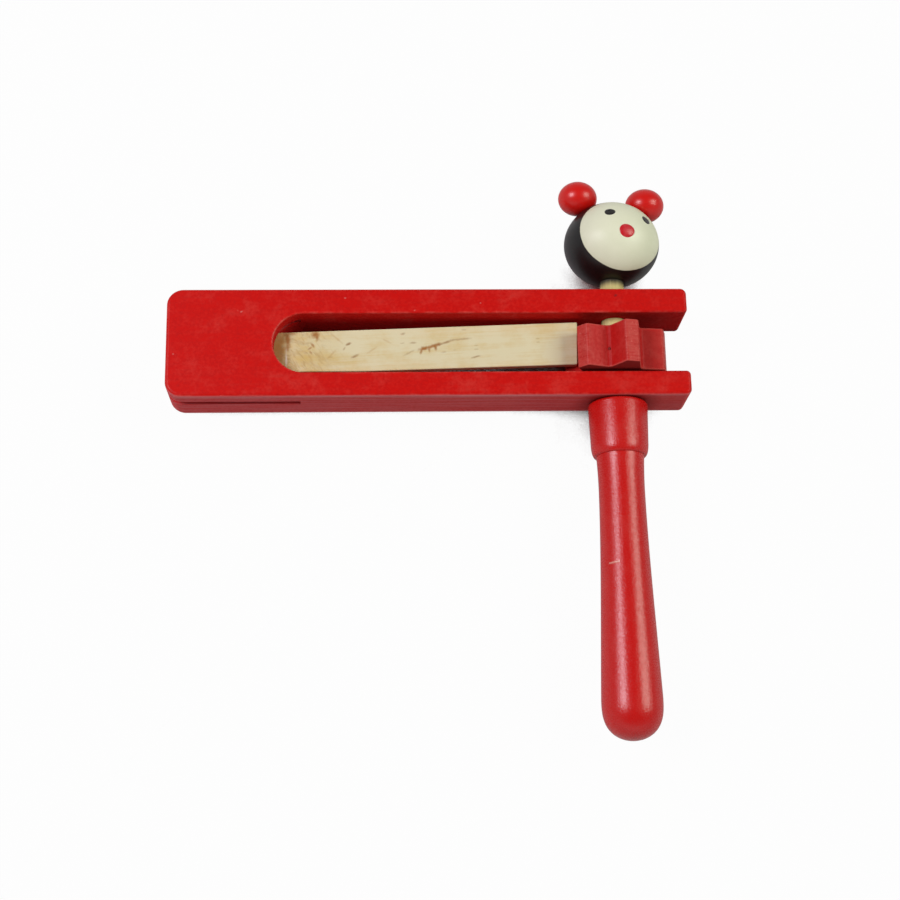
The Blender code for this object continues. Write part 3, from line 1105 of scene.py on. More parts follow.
@dataclass(frozen=True, kw_only=True)
class FacePaint(Finish):
    """Black lacquer on the head, with a cream face laid on from the front up to a plane.

    Attributes:
        centre: Centre of the head.
        facing: Direction that the face looks in.
        edge: Distance of the face's edge from the centre in that direction, in metres.
        black: Colour of the lacquer.
        dusty: Colour of the dust on it.
        cream: Colour of the face.
        cream_thin: Colour of the face where its paint is thin.
        waver: Noise of the face's edge.
        tooth: Noise of the fine bumps.
        blots: Noise of the thin places.
        dust: Specks on the black.
        edge_width: How far in millimetres the edge is spread.
        thin_reach: How far in millimetres from the edge the cream is thin.
    """

    centre: Triple
    facing: Triple
    edge: float
    black: Colour = (0.0045, 0.0035, 0.0035)
    dusty: Colour = (0.120, 0.115, 0.110)
    cream: Colour = (0.765, 0.770, 0.575)
    cream_thin: Colour = (0.690, 0.708, 0.500)
    waver: Noise = Noise(160.0, 2.0)
    tooth: Noise = Noise(1100.0, 3.0, 0.55)
    blots: Noise = Noise(90.0, 4.0, 0.6)
    dust: Specks = Specks(190.0, 0.035, 0.08)
    edge_width: float = 0.24
    thin_reach: float = 1.6

    def coat(self, graph: Graph) -> Coat:
        """Lay the cream over the black, with a slightly wavering edge that stands a little proud.

        Args:
            graph: The material's graph.

        Returns:
            The coat.
        """
        place = graph.place()
        kinds = (self.waver, self.tooth, self.blots)
        waver, tooth, blots = (graph.noise(place, noise) for noise in kinds)
        depth = (graph.along(graph.from_centre(self.centre), self.facing) - self.edge) * PER_MM
        depth = depth + waver.swing(0.35)
        face = depth.rise(-self.edge_width / 2, self.edge_width / 2)
        near_edge = depth.fall(0.0, self.thin_reach)
        thin = blots.rise(0.40, 0.75) * 0.45 + near_edge * 0.35 + tooth.swing(0.25)
        cream = graph.mix(thin.clip(), self.cream, self.cream_thin)
        black = graph.mix(graph.specks(place, self.dust) * 0.15, self.black, self.dusty)
        colour = graph.mix(face, black, cream)
        roughness = 0.36 + face * 0.06 + tooth.swing(0.08) + blots.swing(0.06)
        return Coat(colour, roughness, tooth * 0.10 + face * 0.90)


@dataclass(frozen=True)
class DabPaint(Finish):
    """A thick dab of gloss paint.

    Attributes:
        colour: Main colour.
        thin: Colour where the dab is thin.
        blots: Noise of the thin places.
        tooth: Noise of the fine bumps.
    """

    colour: Colour = (0.012, 0.010, 0.010)
    thin: Colour = (0.045, 0.042, 0.040)
    blots: Noise = Noise(520.0, 3.0, 0.6)
    tooth: Noise = Noise(1500.0, 2.0)

    def coat(self, graph: Graph) -> Coat:
        """Cloud the paint a little.

        Args:
            graph: The material's graph.

        Returns:
            The coat.
        """
        place = graph.place()
        blots, tooth = (graph.noise(place, noise) for noise in (self.blots, self.tooth))
        colour = graph.mix(blots.rise(0.4, 0.75) * 0.6, self.colour, self.thin)
        return Coat(colour, 0.30 + blots.swing(0.2), tooth)


@dataclass(frozen=True)
class DarkSteel(Finish):
    """Dull dark steel of a wire nail, browned red by rust and lacquer.

    Attributes:
        colour: Main colour.
        brown: Colour of the spots.
        rust: Noise of the spots.
    """

    colour: Colour = (0.300, 0.018, 0.012)
    brown: Colour = (0.180, 0.014, 0.010)
    rust: Noise = Noise(2200.0, 4.0, 0.6)

    def coat(self, graph: Graph) -> Coat:
        """Brown the steel in spots.

        Args:
            graph: The material's graph.

        Returns:
            The coat.
        """
        rust = graph.noise(graph.place(), self.rust)
        colour = graph.mix(rust.rise(0.4, 0.7), self.colour, self.brown)
        return Coat(colour, 0.42 + rust * 0.25, rust)


# The toy


@dataclass(frozen=True)
class Layout:
    """Where the shaft's axis crosses the middle of the frame's height."""

    origin: Array

    @classmethod
    def from_frame(cls) -> "Layout":
        """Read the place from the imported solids: the shaft's middle in X and Z, and the frame's in Y.

        Returns:
            The layout.
        """
        shaft_low, shaft_high = (np.array(corner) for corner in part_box("shaft"))
        frame_low, frame_high = (np.array(corner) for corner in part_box("frame"))
        origin = (shaft_low + shaft_high) / 2
        origin[1] = (frame_low[1] + frame_high[1]) / 2
        return cls(origin)

    def at(self, x: float = 0.0, y: float = 0.0, z: float = 0.0) -> Triple:
        """Move a place given round the shaft to the part's frame, in metres."""
        return tuple((self.origin + (x, y, z)).tolist())

    def mm(self, x: float = 0.0, y: float = 0.0, z: float = 0.0) -> Triple:
        """Move a place given round the shaft, in metres, to the part's frame in millimetres."""
        return tuple(((self.origin + (x, y, z)) / MM).tolist())


def install(obj: bpy.types.Object, finish: Finish, slot: str, body: Body | None, *nodes: str) -> None:
    """Paint a piece, let it ride on a body and let it stand for its solids.

    Args:
        obj: The piece.
        finish: Its finish.
        slot: Not used.
        body: The body it rides on, or none.
        nodes: Names of the solids that it stands for.
    """
    obj.data.materials.clear()
    obj.data.materials.append(finish.material())
    if body:
        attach(obj, body.value)
    if nodes:
        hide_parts(*nodes)
    LOG.info("%s: %d faces, finish %s", obj.name, len(obj.data.polygons), finish.name)


@dataclass(frozen=True)
class SubAssembly:
    """Pieces of the toy that are built and dressed together.

    Attributes:
        layout: Where the part is.
    """

    layout: Layout

    @property
    def origin(self) -> Array:
        """Where the shaft's axis crosses the middle of the frame's height."""
        return self.layout.origin

    def dress(self) -> None:
        """Build the pieces and finish them."""
        raise NotImplementedError


@dataclass(frozen=True)
class SlottedFrame(SubAssembly):
    """The red block with its round-ended slot, the bores for the shaft and the kerf for the tongue.

    The slot leaves a solid end and two arms. The overrun is how far a cutter goes past the block, and
    the steps say how finely each curve is divided.
    """

    length: float = 166.0 * MM
    height: float = 36.0 * MM
    depth: float = 18.0 * MM
    shaft_inset: float = 22.7 * MM
    upper_arm: float = 8.4 * MM
    lower_arm: float = 7.9 * MM
    solid_end: float = 33.6 * MM
    closed_corner: float = 5.2 * MM
    open_corner: float = 2.0 * MM
    slot_corner: float = 1.4 * MM
    edge_round: float = 1.2 * MM
    slot_edge_round: float = 0.5 * MM
    bore_radius: float = 4.2 * MM
    kerf_length: float = 42.2 * MM
    kerf_width: float = 2.6 * MM
    kerf_offset: float = 2.1 * MM
    overrun: float = 2.0 * MM
    corner_steps: int = 10
    closed_steps: int = 14
    slot_steps: int = 48
    edge_steps: int = 7
    bore_sides: int = 64

    @property
    def closed_end(self) -> float:
        """X of the solid end."""
        return self.shaft_inset - self.length

    @property
    def slot_top(self) -> float:
        """Y of the slot's upper wall."""
        return self.height / 2 - self.upper_arm

    @property
    def slot_bottom(self) -> float:
        """Y of the slot's lower wall."""
        return self.lower_arm - self.height / 2

    @property
    def slot_half(self) -> float:
        """Half the slot's height, and the radius of its round end."""
        return (self.slot_top - self.slot_bottom) / 2

    @property
    def slot_centre(self) -> Range:
        """X and Y of the middle of the slot's round end."""
        return self.closed_end + self.solid_end + self.slot_half, (self.slot_top + self.slot_bottom) / 2

    def outline(self) -> tuple[Array, Array, Array]:
        """Follow the block's outline: arcs at its corners, and the slot's round end in between.

        Returns:
            The points, the outward normals, and the rounding of the edge at each point.
        """
        top, bottom, right = self.height / 2, -self.height / 2, self.shaft_inset
        outer, inner, closed = self.open_corner, self.slot_corner, self.closed_corner
        broad, narrow, steps = self.edge_round, self.slot_edge_round, self.corner_steps
        left = self.closed_end + closed
        runs = [
            (arc((right - outer, bottom + outer), outer, -90, 0, steps), 1.0, broad, broad),
            (arc((right - inner, self.slot_bottom - inner), inner, 0, 90, steps), 1.0, broad, narrow),
            (arc(self.slot_centre, self.slot_half, 270, 90, self.slot_steps), -1.0, narrow, narrow),
            (arc((right - inner, self.slot_top + inner), inner, -90, 0, steps), 1.0, narrow, broad),
            (arc((right - outer, top - outer), outer, 0, 90, steps), 1.0, broad, broad),
            (arc((left, top - closed), closed, 90, 180, self.closed_steps), 1.0, broad, broad),
            (arc((left, bottom + closed), closed, 180, 270, self.closed_steps), 1.0, broad, broad),
        ]
        points = np.vstack([points for (points, _), _, _, _ in runs])
        normals = np.vstack([out * sign for (_, out), sign, _, _ in runs])
        rounding = np.concatenate([np.linspace(a, b, len(out)) for (_, out), _, a, b in runs])
        return points, normals, rounding

    def build(self) -> bpy.types.Object:
        """Carry the outline from back to front, rounded at both faces, and cut the bores and the kerf.

        A rounded edge follows a quarter circle, whose radius is the rounding at each point.

        Returns:
            The frame.
        """
        points, normals, rounding = self.outline()
        drawn, short = (share[:, None] * rounding for share in rounded_edge(self.edge_steps))
        flat = points - normals * drawn[..., None]
        front = np.concatenate([flat, (self.depth / 2 - short)[..., None]], axis=-1)
        back = front[::-1] * np.array([1.0, 1.0, -1.0])
        rings = np.concatenate([back, front]) + self.origin
        block = Skin(rings, End.CAP, End.CAP).piece("slotted_frame")
        reach = np.array([0.0, self.height / 2 + self.overrun, 0.0])
        bore = plain_bar(self.origin - reach, self.origin + reach, self.bore_radius, self.bore_sides)
        carve(block, [bore.piece("shaft_bore"), self.kerf()])
        weigh_normals(block)
        return block

    def kerf(self) -> bpy.types.Object:
        """Make the saw cut's shape: a rectangle carried right through the block's height.

        Returns:
            The cutter.
        """
        x = np.array([self.closed_end - self.overrun, self.closed_end + self.kerf_length])[[0, 1, 1, 0]]
        z = self.kerf_offset + self.kerf_width / 2 * np.array([-1.0, -1.0, 1.0, 1.0])
        y = (self.height / 2 + self.overrun) * np.array([[-1.0], [1.0]])
        rings = np.stack(np.broadcast_arrays(x, y, z), axis=-1) + self.origin
        return Skin(rings, End.CAP, End.CAP).piece("kerf")

    def marks(self) -> tuple[Mark, ...]:
        """List the chip and the specks that show on the front, in the part's frame.

        Returns:
            The marks.
        """
        chip, speck = (0.090, 0.012, 0.016), (0.720, 0.330, 0.290)
        return (
            Mark(60.1, 49.2, 0.70, 0.55, 30.0, 0.6, chip),
            Mark(-59.3, 44.0, 0.55, 0.28, 25.0, 0.40, speck),
            Mark(-26.6, 48.5, 0.40, 0.30, 0.0, 0.32, speck),
            Mark(-65.4, 15.9, 0.32, 0.32, 0.0, 0.32, speck),
            Mark(-80.5, 29.8, 0.32, 0.36, 0.0, 0.28, speck),
            Mark(-4.5, 44.2, 0.40, 0.25, 40.0, 0.28, speck),
            Mark(16.6, 46.7, 0.32, 0.28, 0.0, 0.28, speck),
        )

    def dress(self) -> None:
        """Build the frame and paint it."""
        slot_start, slot_middle, _ = self.layout.mm(*self.slot_centre)
        x, _, z = self.layout.mm()
        finish = FrameLacquer(
            "frame_lacquer", ior=1.26, gloss=0.42, cloud=0.26, marks=self.marks(),
            middle=self.layout.mm(self.shaft_inset - self.length / 2),
            half=(self.length / 2 / MM, self.height / 2 / MM, self.depth / 2 / MM),
            slot_start=slot_start, slot_middle=slot_middle, slot_half=self.slot_half / MM, shaft=(x, z))
        install(self.build(), finish, "frame_paint", Body.FRAME, "frame")


@dataclass(frozen=True)
class SpringTongue(SubAssembly):
    """The springy strip of wood, held in the kerf, that rises and widens a little towards the gear.

    Levels are those of the lower and the upper edge. The belly is how much fuller the lower edge is cut
    at the root and at the tip, and the belly's shares of the length say where its ramp starts and ends.
    """

    tail: float = -140.8 * MM
    root: float = -109.7 * MM
    tip: float = -12.3 * MM
    root_levels: Range = (-8.3 * MM, 5.12 * MM)
    tip_levels: Range = (-5.75 * MM, 8.45 * MM)
    belly: Range = (0.53 * MM, 0.19 * MM)
    belly_shares: Range = (0.12, 0.30)
    thickness: float = 2.4 * MM
    offset: float = 2.1 * MM
    edge_round: float = 0.35 * MM
    bend_length: float = 75.0 * MM
    stations: int = 90
    end_steps: int = 4
    corner_steps: int = 5
    sharp: float = 50.0

    def ring_places(self) -> tuple[Array, Array]:
        """Place the strip's rings along X, close together on its rounded ends.

        Returns:
            X of each ring, and how far it is drawn in.
        """
        drawn, short = (self.edge_round * share[1:] for share in rounded_edge(self.end_steps))
        along = np.linspace(self.tail + self.edge_round, self.tip - self.edge_round, self.stations)
        ends = self.edge_round - short
        x = np.concatenate([along[0] - ends[::-1], along, along[-1] + ends])
        return x, np.concatenate([drawn[::-1], np.zeros_like(along), drawn])

    def build(self) -> bpy.types.Object:
        """Carry a rectangle with rounded corners along the strip, its two levels on straight lines.

        The lower line is cut a little fuller from a short ramp near the root on, and less so towards the
        tip. The rectangle stands square to the strip's middle line.

        Returns:
            The tongue.
        """
        x, drawn = self.ring_places()
        share = (x - self.root) / (self.tip - self.root)
        ramp = np.interp(share, self.belly_shares, (0.0, 1.0))
        fuller = ramp * np.interp(share, (0.0, 1.0), self.belly)
        low, high = (root + (tip - root) * share for root, tip in zip(self.root_levels, self.tip_levels))
        low, high = low - fuller + drawn, high - drawn
        half = self.thickness / 2 - drawn
        turns = np.array([[0.0], [90.0], [180.0], [270.0]])
        angle = np.radians(np.linspace(0.0, 90.0, self.corner_steps) + turns)
        signs = np.array([[1.0, 1.0], [-1.0, 1.0], [-1.0, -1.0], [1.0, -1.0]])
        signs = np.repeat(signs, self.corner_steps, axis=0)
        bow = np.stack([np.cos(angle), np.sin(angle)], axis=-1).reshape(-1, 2) - signs
        middle, reach = (high + low) / 2, (high - low) / 2
        y = middle[:, None] + signs[:, 0] * reach[:, None] + bow[:, 0] * self.edge_round
        z = self.offset + signs[:, 1] * half[:, None] + bow[:, 1] * self.edge_round
        slope = (sum(self.tip_levels) - sum(self.root_levels)) / 2 / (self.tip - self.root)
        rings = np.stack([x[:, None] - slope * (high[:, None] - y), y, z], axis=-1) + self.origin
        strip = Skin(rings, End.CAP, End.CAP).piece("spring_tongue", self.sharp)
        weigh_normals(strip)
        return strip

    def marks(self) -> tuple[Mark, ...]:
        """List the stains and flecks that show on the strip, in the part's frame.

        Returns:
            The marks.
        """
        glue, brown, wash = (0.780, 0.740, 0.620), (0.345, 0.135, 0.026), (0.430, 0.215, 0.048)
        return (
            Mark(-48.0, 33.0, 3.8, 9.0, 0.0, 0.80, wash),
            Mark(-45.0, 36.4, 1.0, 3.6, 3.0, 0.90, brown),
            Mark(-45.4, 29.6, 0.45, 3.4, 0.0, 0.85, glue),
            Mark(-44.0, 38.5, 3.2, 0.7, 4.0, 0.60, brown),
            Mark(-36.2, 38.2, 1.4, 1.6, 40.0, 0.95, brown),
            Mark(-35.6, 37.0, 0.6, 1.4, -8.0, 0.70, brown),
            Mark(-37.0, 34.6, 1.2, 0.45, -55.0, 0.75, brown),
            Mark(-37.9, 33.6, 1.0, 0.45, 40.0, 0.70, brown),
            Mark(-37.6, 32.2, 1.1, 0.45, -55.0, 0.65, brown),
            Mark(-25.6, 35.0, 1.1, 0.50, 22.0, 0.80),
            Mark(-23.7, 30.8, 1.4, 0.50, 26.0, 0.70),
            Mark(-27.0, 33.4, 0.8, 0.35, 60.0, 0.40),
            Mark(-1.6, 33.3, 2.4, 0.85, 10.0, 0.95, brown),
            Mark(-2.4, 32.4, 0.55, 1.0, -20.0, 0.85, brown),
            Mark(0.1, 33.0, 0.50, 0.9, 10.0, 0.75, brown),
            Mark(2.2, 33.6, 0.60, 1.2, 12.0, 0.85, brown),
            Mark(1.6, 34.3, 3.6, 0.65, 18.0, 0.85, brown),
            Mark(5.4, 35.4, 2.8, 0.50, 18.0, 0.70),
            Mark(10.4, 36.5, 3.6, 0.40, 6.0, 0.45),
            Mark(15.0, 30.5, 1.6, 0.40, 14.0, 0.65),
            Mark(-8.2, 38.4, 0.9, 0.50, 15.0, 0.55),
            Mark(-5.0, 35.3, 1.2, 0.42, 5.0, 0.50),
            Mark(-6.2, 32.0, 2.2, 0.40, 28.0, 0.35),
            Mark(4.9, 32.2, 1.0, 0.35, 8.0, 0.30),
            Mark(-29.5, 37.0, 2.6, 0.40, -42.0, 0.30, wash),
            Mark(-31.0, 31.5, 2.4, 0.45, 48.0, 0.30, wash),
            Mark(-18.0, 33.0, 2.6, 0.35, 35.0, 0.25, wash),
            Mark(-13.5, 36.0, 2.2, 0.35, -30.0, 0.25, wash),
        )

    def dress(self) -> None:
        """Build the tongue and leave it bare."""
        strip = self.build()
        finish = BareWood("tongue_wood", ior=1.42, relief=0.05 * MM, marks=self.marks(), lean=3.0,
                          warm_from=(-52.0, -16.0), grey_from=(46.0, 51.5))
        install(strip, finish, "tongue_wood", None, "tongue")
        start = self.layout.at(self.root - self.edge_round, 0.0, self.offset)
        end = self.layout.at(self.root + self.bend_length, 0.0, self.offset)
        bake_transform(strip)


@dataclass(frozen=True)
class ToothedGear(SubAssembly):
    """The thick gear with flat-topped teeth, and the nail that locks it to the shaft.

    The nail runs between two distances from the shaft's axis. Its taper is its radius near the point as
    a share of the full one; that place, the end of the point and the dome are shares of its length.
    """

    teeth: int = 6
    tip_radius: float = 16.3 * MM
    root_radius: float = 10.9 * MM
    land_angle: float = math.radians(15.4)
    valley_angle: float = math.radians(6.4)
    first_tooth: float = math.radians(-47.5)
    low: float = -9.25 * MM
    high: float = 4.85 * MM
    bore_radius: float = 4.2 * MM
    edge_round: float = 0.5 * MM
    corner_cut: float = 0.7 * MM
    nail_level: float = -3.25 * MM
    nail_radius: float = 0.5 * MM
    nail_hole: float = 0.54 * MM
    nail_inner: float = 1.4 * MM
    nail_outer: float = 11.08 * MM
    nail_taper: float = 0.6
    nail_point: Range = (0.05, 0.12)
    nail_dome: float = 0.025
    overrun: float = 2.18 * MM
    corner_steps: int = 7
    edge_steps: int = 6
    face_rings: int = 5
    nail_sides: int = 24
    sharp: float = 40.0

    @property
    def pitch(self) -> float:
        """Angle between teeth."""
        return FULL_TURN / self.teeth

    def outline(self) -> Array:
        """Follow the gear's outline round the shaft, from +Z towards +X.

        Each tooth has two corners at its tip and two in the valley after it; a corner at radius r and
        angle a is (r sin a, r cos a), and every corner is slightly rounded.

        Returns:
            The outline as (x, z).
        """
        middle = self.first_tooth + self.pitch * np.arange(self.teeth)[:, None]
        steps = np.array([-self.land_angle / 2, self.land_angle / 2,
                          (self.pitch - self.valley_angle) / 2, (self.pitch + self.valley_angle) / 2])
        angle = (middle + steps).ravel()
        radius = np.tile(np.repeat([self.tip_radius, self.root_radius], 2), self.teeth)
        corners = np.stack([radius * np.sin(angle), radius * np.cos(angle)], axis=-1)
        cut = np.tile(np.repeat([self.corner_cut, self.corner_cut / 2], 2), self.teeth)
        return rounded_corners(corners, cut, self.corner_steps)

    def build(self) -> bpy.types.Object:
        """Carry the outline along the shaft, rounded at both faces, and back through the bore.

        A rounded edge follows a quarter circle, and a face runs straight from the outline to the bore.

        Returns:
            The gear.
        """
        outline = self.outline()
        run = np.roll(outline, -1, axis=0) - np.roll(outline, 1, axis=0)
        normal = unit(np.stack([-run[:, 1], run[:, 0]], axis=-1))
        normal *= np.sign(np.sum(normal * outline))
        drawn, short = (self.edge_round * share for share in rounded_edge(self.edge_steps))
        flank = outline - normal * drawn[:, None, None]
        bore = unit(outline) * self.bore_radius
        share = np.linspace(1.0, 0.0, self.face_rings + 1)[1:, None, None]
        face = bore + (flank[-1] - bore) * share
        flat = np.concatenate([face[::-1], flank[::-1], flank, face])
        flush = np.zeros(self.face_rings)
        level = np.concatenate([self.low + flush, self.low + short[::-1],
                                self.high - short, self.high + flush])
        y = np.broadcast_to(level[:, None], flat.shape[:2])
        rings = np.stack([flat[..., 0], y, flat[..., 1]], axis=-1) + self.origin
        gear = Skin(rings, End.JOIN, End.JOIN).piece("toothed_gear", self.sharp)
        hole = plain_bar(*self.nail_line(0.0, self.root_radius + self.overrun), self.nail_hole)
        carve(gear, [hole.piece("nail_hole")], self.sharp)
        weigh_normals(gear)
        return gear

    def nail_line(self, inner: float, outer: float) -> tuple[Array, Array]:
        """Follow the nail's line, through the middle of the valley after the first tooth.

        Args:
            inner: Distance of the line's start from the shaft's axis.
            outer: Distance of its end.

        Returns:
            The line's two ends.
        """
        angle = self.first_tooth + self.pitch / 2
        toward = np.array([math.sin(angle), 0.0, math.cos(angle)])
        start = self.origin + (0.0, self.nail_level, 0.0)
        return start + toward * inner, start + toward * outer

    def nail(self) -> bpy.types.Object:
        """Turn the nail: a pointed wire with a low domed head.

        Returns:
            The nail.
        """
        dome = np.linspace(0.0, QUARTER_TURN, self.edge_steps)
        head = np.stack([self.nail_radius * np.cos(dome),
                         1.0 + self.nail_dome * (np.sin(dome) - 1.0)], axis=-1)
        taper, full = self.nail_point
        point = [[0.0, 0.0], [self.nail_radius * self.nail_taper, taper], [self.nail_radius, full]]
        ends = self.nail_line(self.nail_inner, self.nail_outer)
        return Skin(bar(*ends, np.vstack([point, head]), self.nail_sides)).piece("gear_nail")

    def dress(self) -> None:
        """Build the gear and its nail and finish them."""
        (x, low, z), (_, high, _) = self.layout.mm(y=self.low), self.layout.mm(y=self.high)
        finish = GearLacquer(
            "gear_lacquer", ior=1.31, colour=(0.480, 0.004, 0.003), haze=(0.540, 0.075, 0.060),
            gloss=0.45, cloud=0.20, grain=Noise((900.0, 45.0, 900.0), 4.0, 0.6),
            axis=(x, z), faces=(low, high), tip=self.tip_radius / MM)
        install(self.build(), finish, "gear_paint", Body.ROTOR, "gear")
        steel = DarkSteel("nail_steel", metallic=0.35)
        install(self.nail(), steel, "pin_steel", Body.ROTOR, "gear_pin")


@dataclass(frozen=True)
class DowelShaft(SubAssembly):
    """The bare dowel from the handle's socket to the head's, with a hole for the nail of its gear.

    Between two levels the head's painted shade darkens the top of the neck. Just above the gear it is
    painted paler as painted light, over a patch whose reach is half its width and height in millimetres.
    """

    gear: ToothedGear
    radius: float = 3.9 * MM
    low: float = -33.2 * MM
    high: float = 38.8 * MM
    chamfer: float = 0.4 * MM
    nail_clearance: float = 0.3 * MM
    overrun: float = 1.95 * MM
    # Levels of the head's painted shade on the top of the neck.
    black: Range = (20.4 * MM, 23.0 * MM)
    painted_light_reach: Range = (9.0, 5.0)
    painted_light: Colour = (0.830, 0.700, 0.300)
    wall_rings: int = 13
    sides: int = 96
    sharp: float = 30.0

    def build(self) -> bpy.types.Object:
        """Turn the dowel with a small chamfer at both ends, and bore it for the nail.

        Returns:
            The dowel.
        """
        inner = self.radius - self.chamfer
        levels = np.linspace(self.low + self.chamfer, self.high - self.chamfer, self.wall_rings)
        wall = np.stack([np.full_like(levels, self.radius), levels], axis=-1)
        foot, head = [[0.0, self.low], [inner, self.low]], [[inner, self.high], [0.0, self.high]]
        rings = turned(np.vstack([foot, wall, head]), self.sides) + self.origin
        dowel = Skin(rings).piece("dowel_shaft", self.sharp)
        depth = self.gear.nail_inner - self.nail_clearance
        hole = plain_bar(*self.gear.nail_line(depth, self.radius + self.overrun), self.gear.nail_hole)
        carve(dowel, [hole.piece("nail_hole")], self.sharp)
        weigh_normals(dowel)
        return dowel

    def dress(self) -> None:
        """Build the dowel and leave it bare."""
        x, y, _ = self.layout.mm(y=self.gear.high)
        # Painted light: a paler patch on the dowel just above the gear.
        painted_light = Mark(x, y, *self.painted_light_reach, lean=0.0, strength=0.95, colour=self.painted_light)
        # Levels of the head's painted shade on the neck.
        (_, start, _), (_, end, _) = (self.layout.mm(y=level) for level in self.black)
        finish = BareWood(
            "shaft_wood", ior=1.42, relief=0.05 * MM, fibres=(1100.0, 45.0, 1100.0),
            pale=(0.600, 0.520, 0.215), warm=(0.490, 0.385, 0.130), marks=(painted_light,),
            head_shade_from=(start, end))
        install(self.build(), finish, "shaft_wood", Body.ROTOR, "shaft")


@dataclass(frozen=True)
class TurnedHandle(SubAssembly):
    """The turned grip: a collar with a drawn-in foot, a waist, a belly and a round butt.

    The slopes are those of the eased curves at their starts and ends. The scratch is given by its ends.
    """

    top: float = -18.5 * MM
    length: float = 106.9 * MM
    collar_length: float = 17.5 * MM
    collar_radius: float = 9.5 * MM
    collar_foot_radius: float = 9.15 * MM
    collar_top_round: float = 1.0 * MM
    collar_shoulder: float = 4.0 * MM
    collar_step: float = 1.2 * MM
    neck_radius: float = 7.6 * MM
    neck_slopes: Range = (2.2, 0.0)
    waist_radius: float = 7.26 * MM
    waist_drop: float = 11.0 * MM
    belly_radius: float = 9.45 * MM
    belly_slopes: Range = (0.2, 1.1)
    butt_length: float = 12.4 * MM
    butt_fullness: float = 2.9
    socket_depth: float = 15.0 * MM
    socket_radius: float = 4.2 * MM
    scratch_start: Triple = (-5.80 * MM, -71.60 * MM, 5.36 * MM)
    scratch_end: Triple = (-3.10 * MM, -71.44 * MM, 7.27 * MM)
    edge_steps: int = 9
    neck_steps: int = 15
    belly_steps: int = 41
    butt_steps: int = 27
    sides: int = 128
    sharp: float = 40.0

    @staticmethod
    def ease(share: Array, start_slope: float, end_slope: float) -> Array:
        """Ease from 0 to 1 with given slopes: a cubic through both ends.

        Args:
            share: How far along, from 0 to 1.
            start_slope: Slope at the start.
            end_slope: Slope at the end.

        Returns:
            The eased share.
        """
        square, cube = share**2, share**3
        plain = 3 * square - 2 * cube
        return plain + (cube - 2 * square + share) * start_slope + (cube - square) * end_slope

    def collar(self) -> Array:
        """Follow the socket and the collar: its top is a quarter circle, its foot a quarter ellipse.

        Returns:
            Radius and level of each point.
        """
        bottom, foot = self.top - self.socket_depth, self.top - self.collar_length
        drawn, short = rounded_edge(self.edge_steps)
        socket = [[0.0, bottom], [self.socket_radius, bottom], [self.socket_radius, self.top]]
        rim = np.stack([self.collar_radius - self.collar_top_round * short,
                        self.top - self.collar_top_round * drawn], axis=-1)
        shoulder = np.stack([self.collar_foot_radius - self.collar_step * drawn,
                             foot + self.collar_shoulder * short], axis=-1)
        return np.vstack([socket, rim, shoulder])

    def profile(self) -> Array:
        """Follow the profile from the bottom of the socket, over the collar and down to the butt.

        Neck, waist and belly are joined by eased cubics. The butt's radius is the belly's times the root
        of 1 - t^n, where t is the share of the butt's length and n is its fullness.

        Returns:
            Radius and level of each point.
        """
        neck, waist, full = self.neck_radius, self.waist_radius, self.belly_radius
        foot = self.top - self.collar_length
        narrowest = foot - self.waist_drop
        belly = self.top - self.length + self.butt_length
        t = np.linspace(0.0, 1.0, self.neck_steps)
        fall = np.stack([neck + (waist - neck) * self.ease(t, *self.neck_slopes),
                         foot - self.waist_drop * t], axis=-1)
        t = np.linspace(0.0, 1.0, self.belly_steps)[1:]
        swell = np.stack([waist + (full - waist) * self.ease(t, *self.belly_slopes),
                          narrowest + (belly - narrowest) * t], axis=-1)
        t = np.sin(np.linspace(0.0, QUARTER_TURN, self.butt_steps)[1:])
        butt = np.stack([full * np.sqrt(np.maximum(0.0, 1 - t**self.butt_fullness)),
                         belly - self.butt_length * t], axis=-1)
        return np.vstack([self.collar(), fall, swell, butt])

    def dress(self) -> None:
        """Turn the handle and paint it."""
        rings = turned(self.profile(), self.sides) + self.origin
        handle = Skin(rings).piece("turned_handle", self.sharp)
        finish = ScratchedLacquer(
            "handle_lacquer", ior=1.51, relief=0.15 * MM, gloss=0.27, cloud=0.22, mottle=0.4,
            colour=(0.560, 0.0026, 0.0014), haze=(0.590, 0.050, 0.042), bare=(0.720, 0.320, 0.250),
            tooth=Noise(1700.0, 3.0, 0.68), grain=Noise((700.0, 40.0, 700.0), 4.0, 0.6),
            dust=Specks(115.0, 0.030, 0.16),
            start=self.layout.at(*self.scratch_start), end=self.layout.at(*self.scratch_end))
        install(handle, finish, "handle_paint", Body.ROTOR, "handle")


@dataclass(frozen=True)
class Dab:
    """A dab of paint on the head.

    Attributes:
        name: Name of its piece.
        toward: Direction from the head's centre, before the head leans.
        width: Half its width.
        height: Half its height.
        thickness: How far it stands proud.
        finish: Its finish.
        slot: Name of its material slot, which is not used.
        phases: Angles at which the two wavers of its edge start.
        wavers: Size of each, as a share of the radius.
        sunk: How deep its underside lies in the head.
    """

    name: str
    toward: Triple
    width: float
    height: float
    thickness: float
    finish: Finish
    slot: str
    phases: Range = (1.548, 1.0)
    wavers: Range = (0.025, 0.018)
    sunk: float = 0.25 * MM

    def edge(self, angle: Array) -> Array:
        """Let the dab's edge waver: 1 plus sines of twice and of three times the angle."""
        twice, thrice = (np.sin(n * angle + phase) for n, phase in zip((2, 3), self.phases))
        return 1.0 + self.wavers[0] * twice + self.wavers[1] * thrice


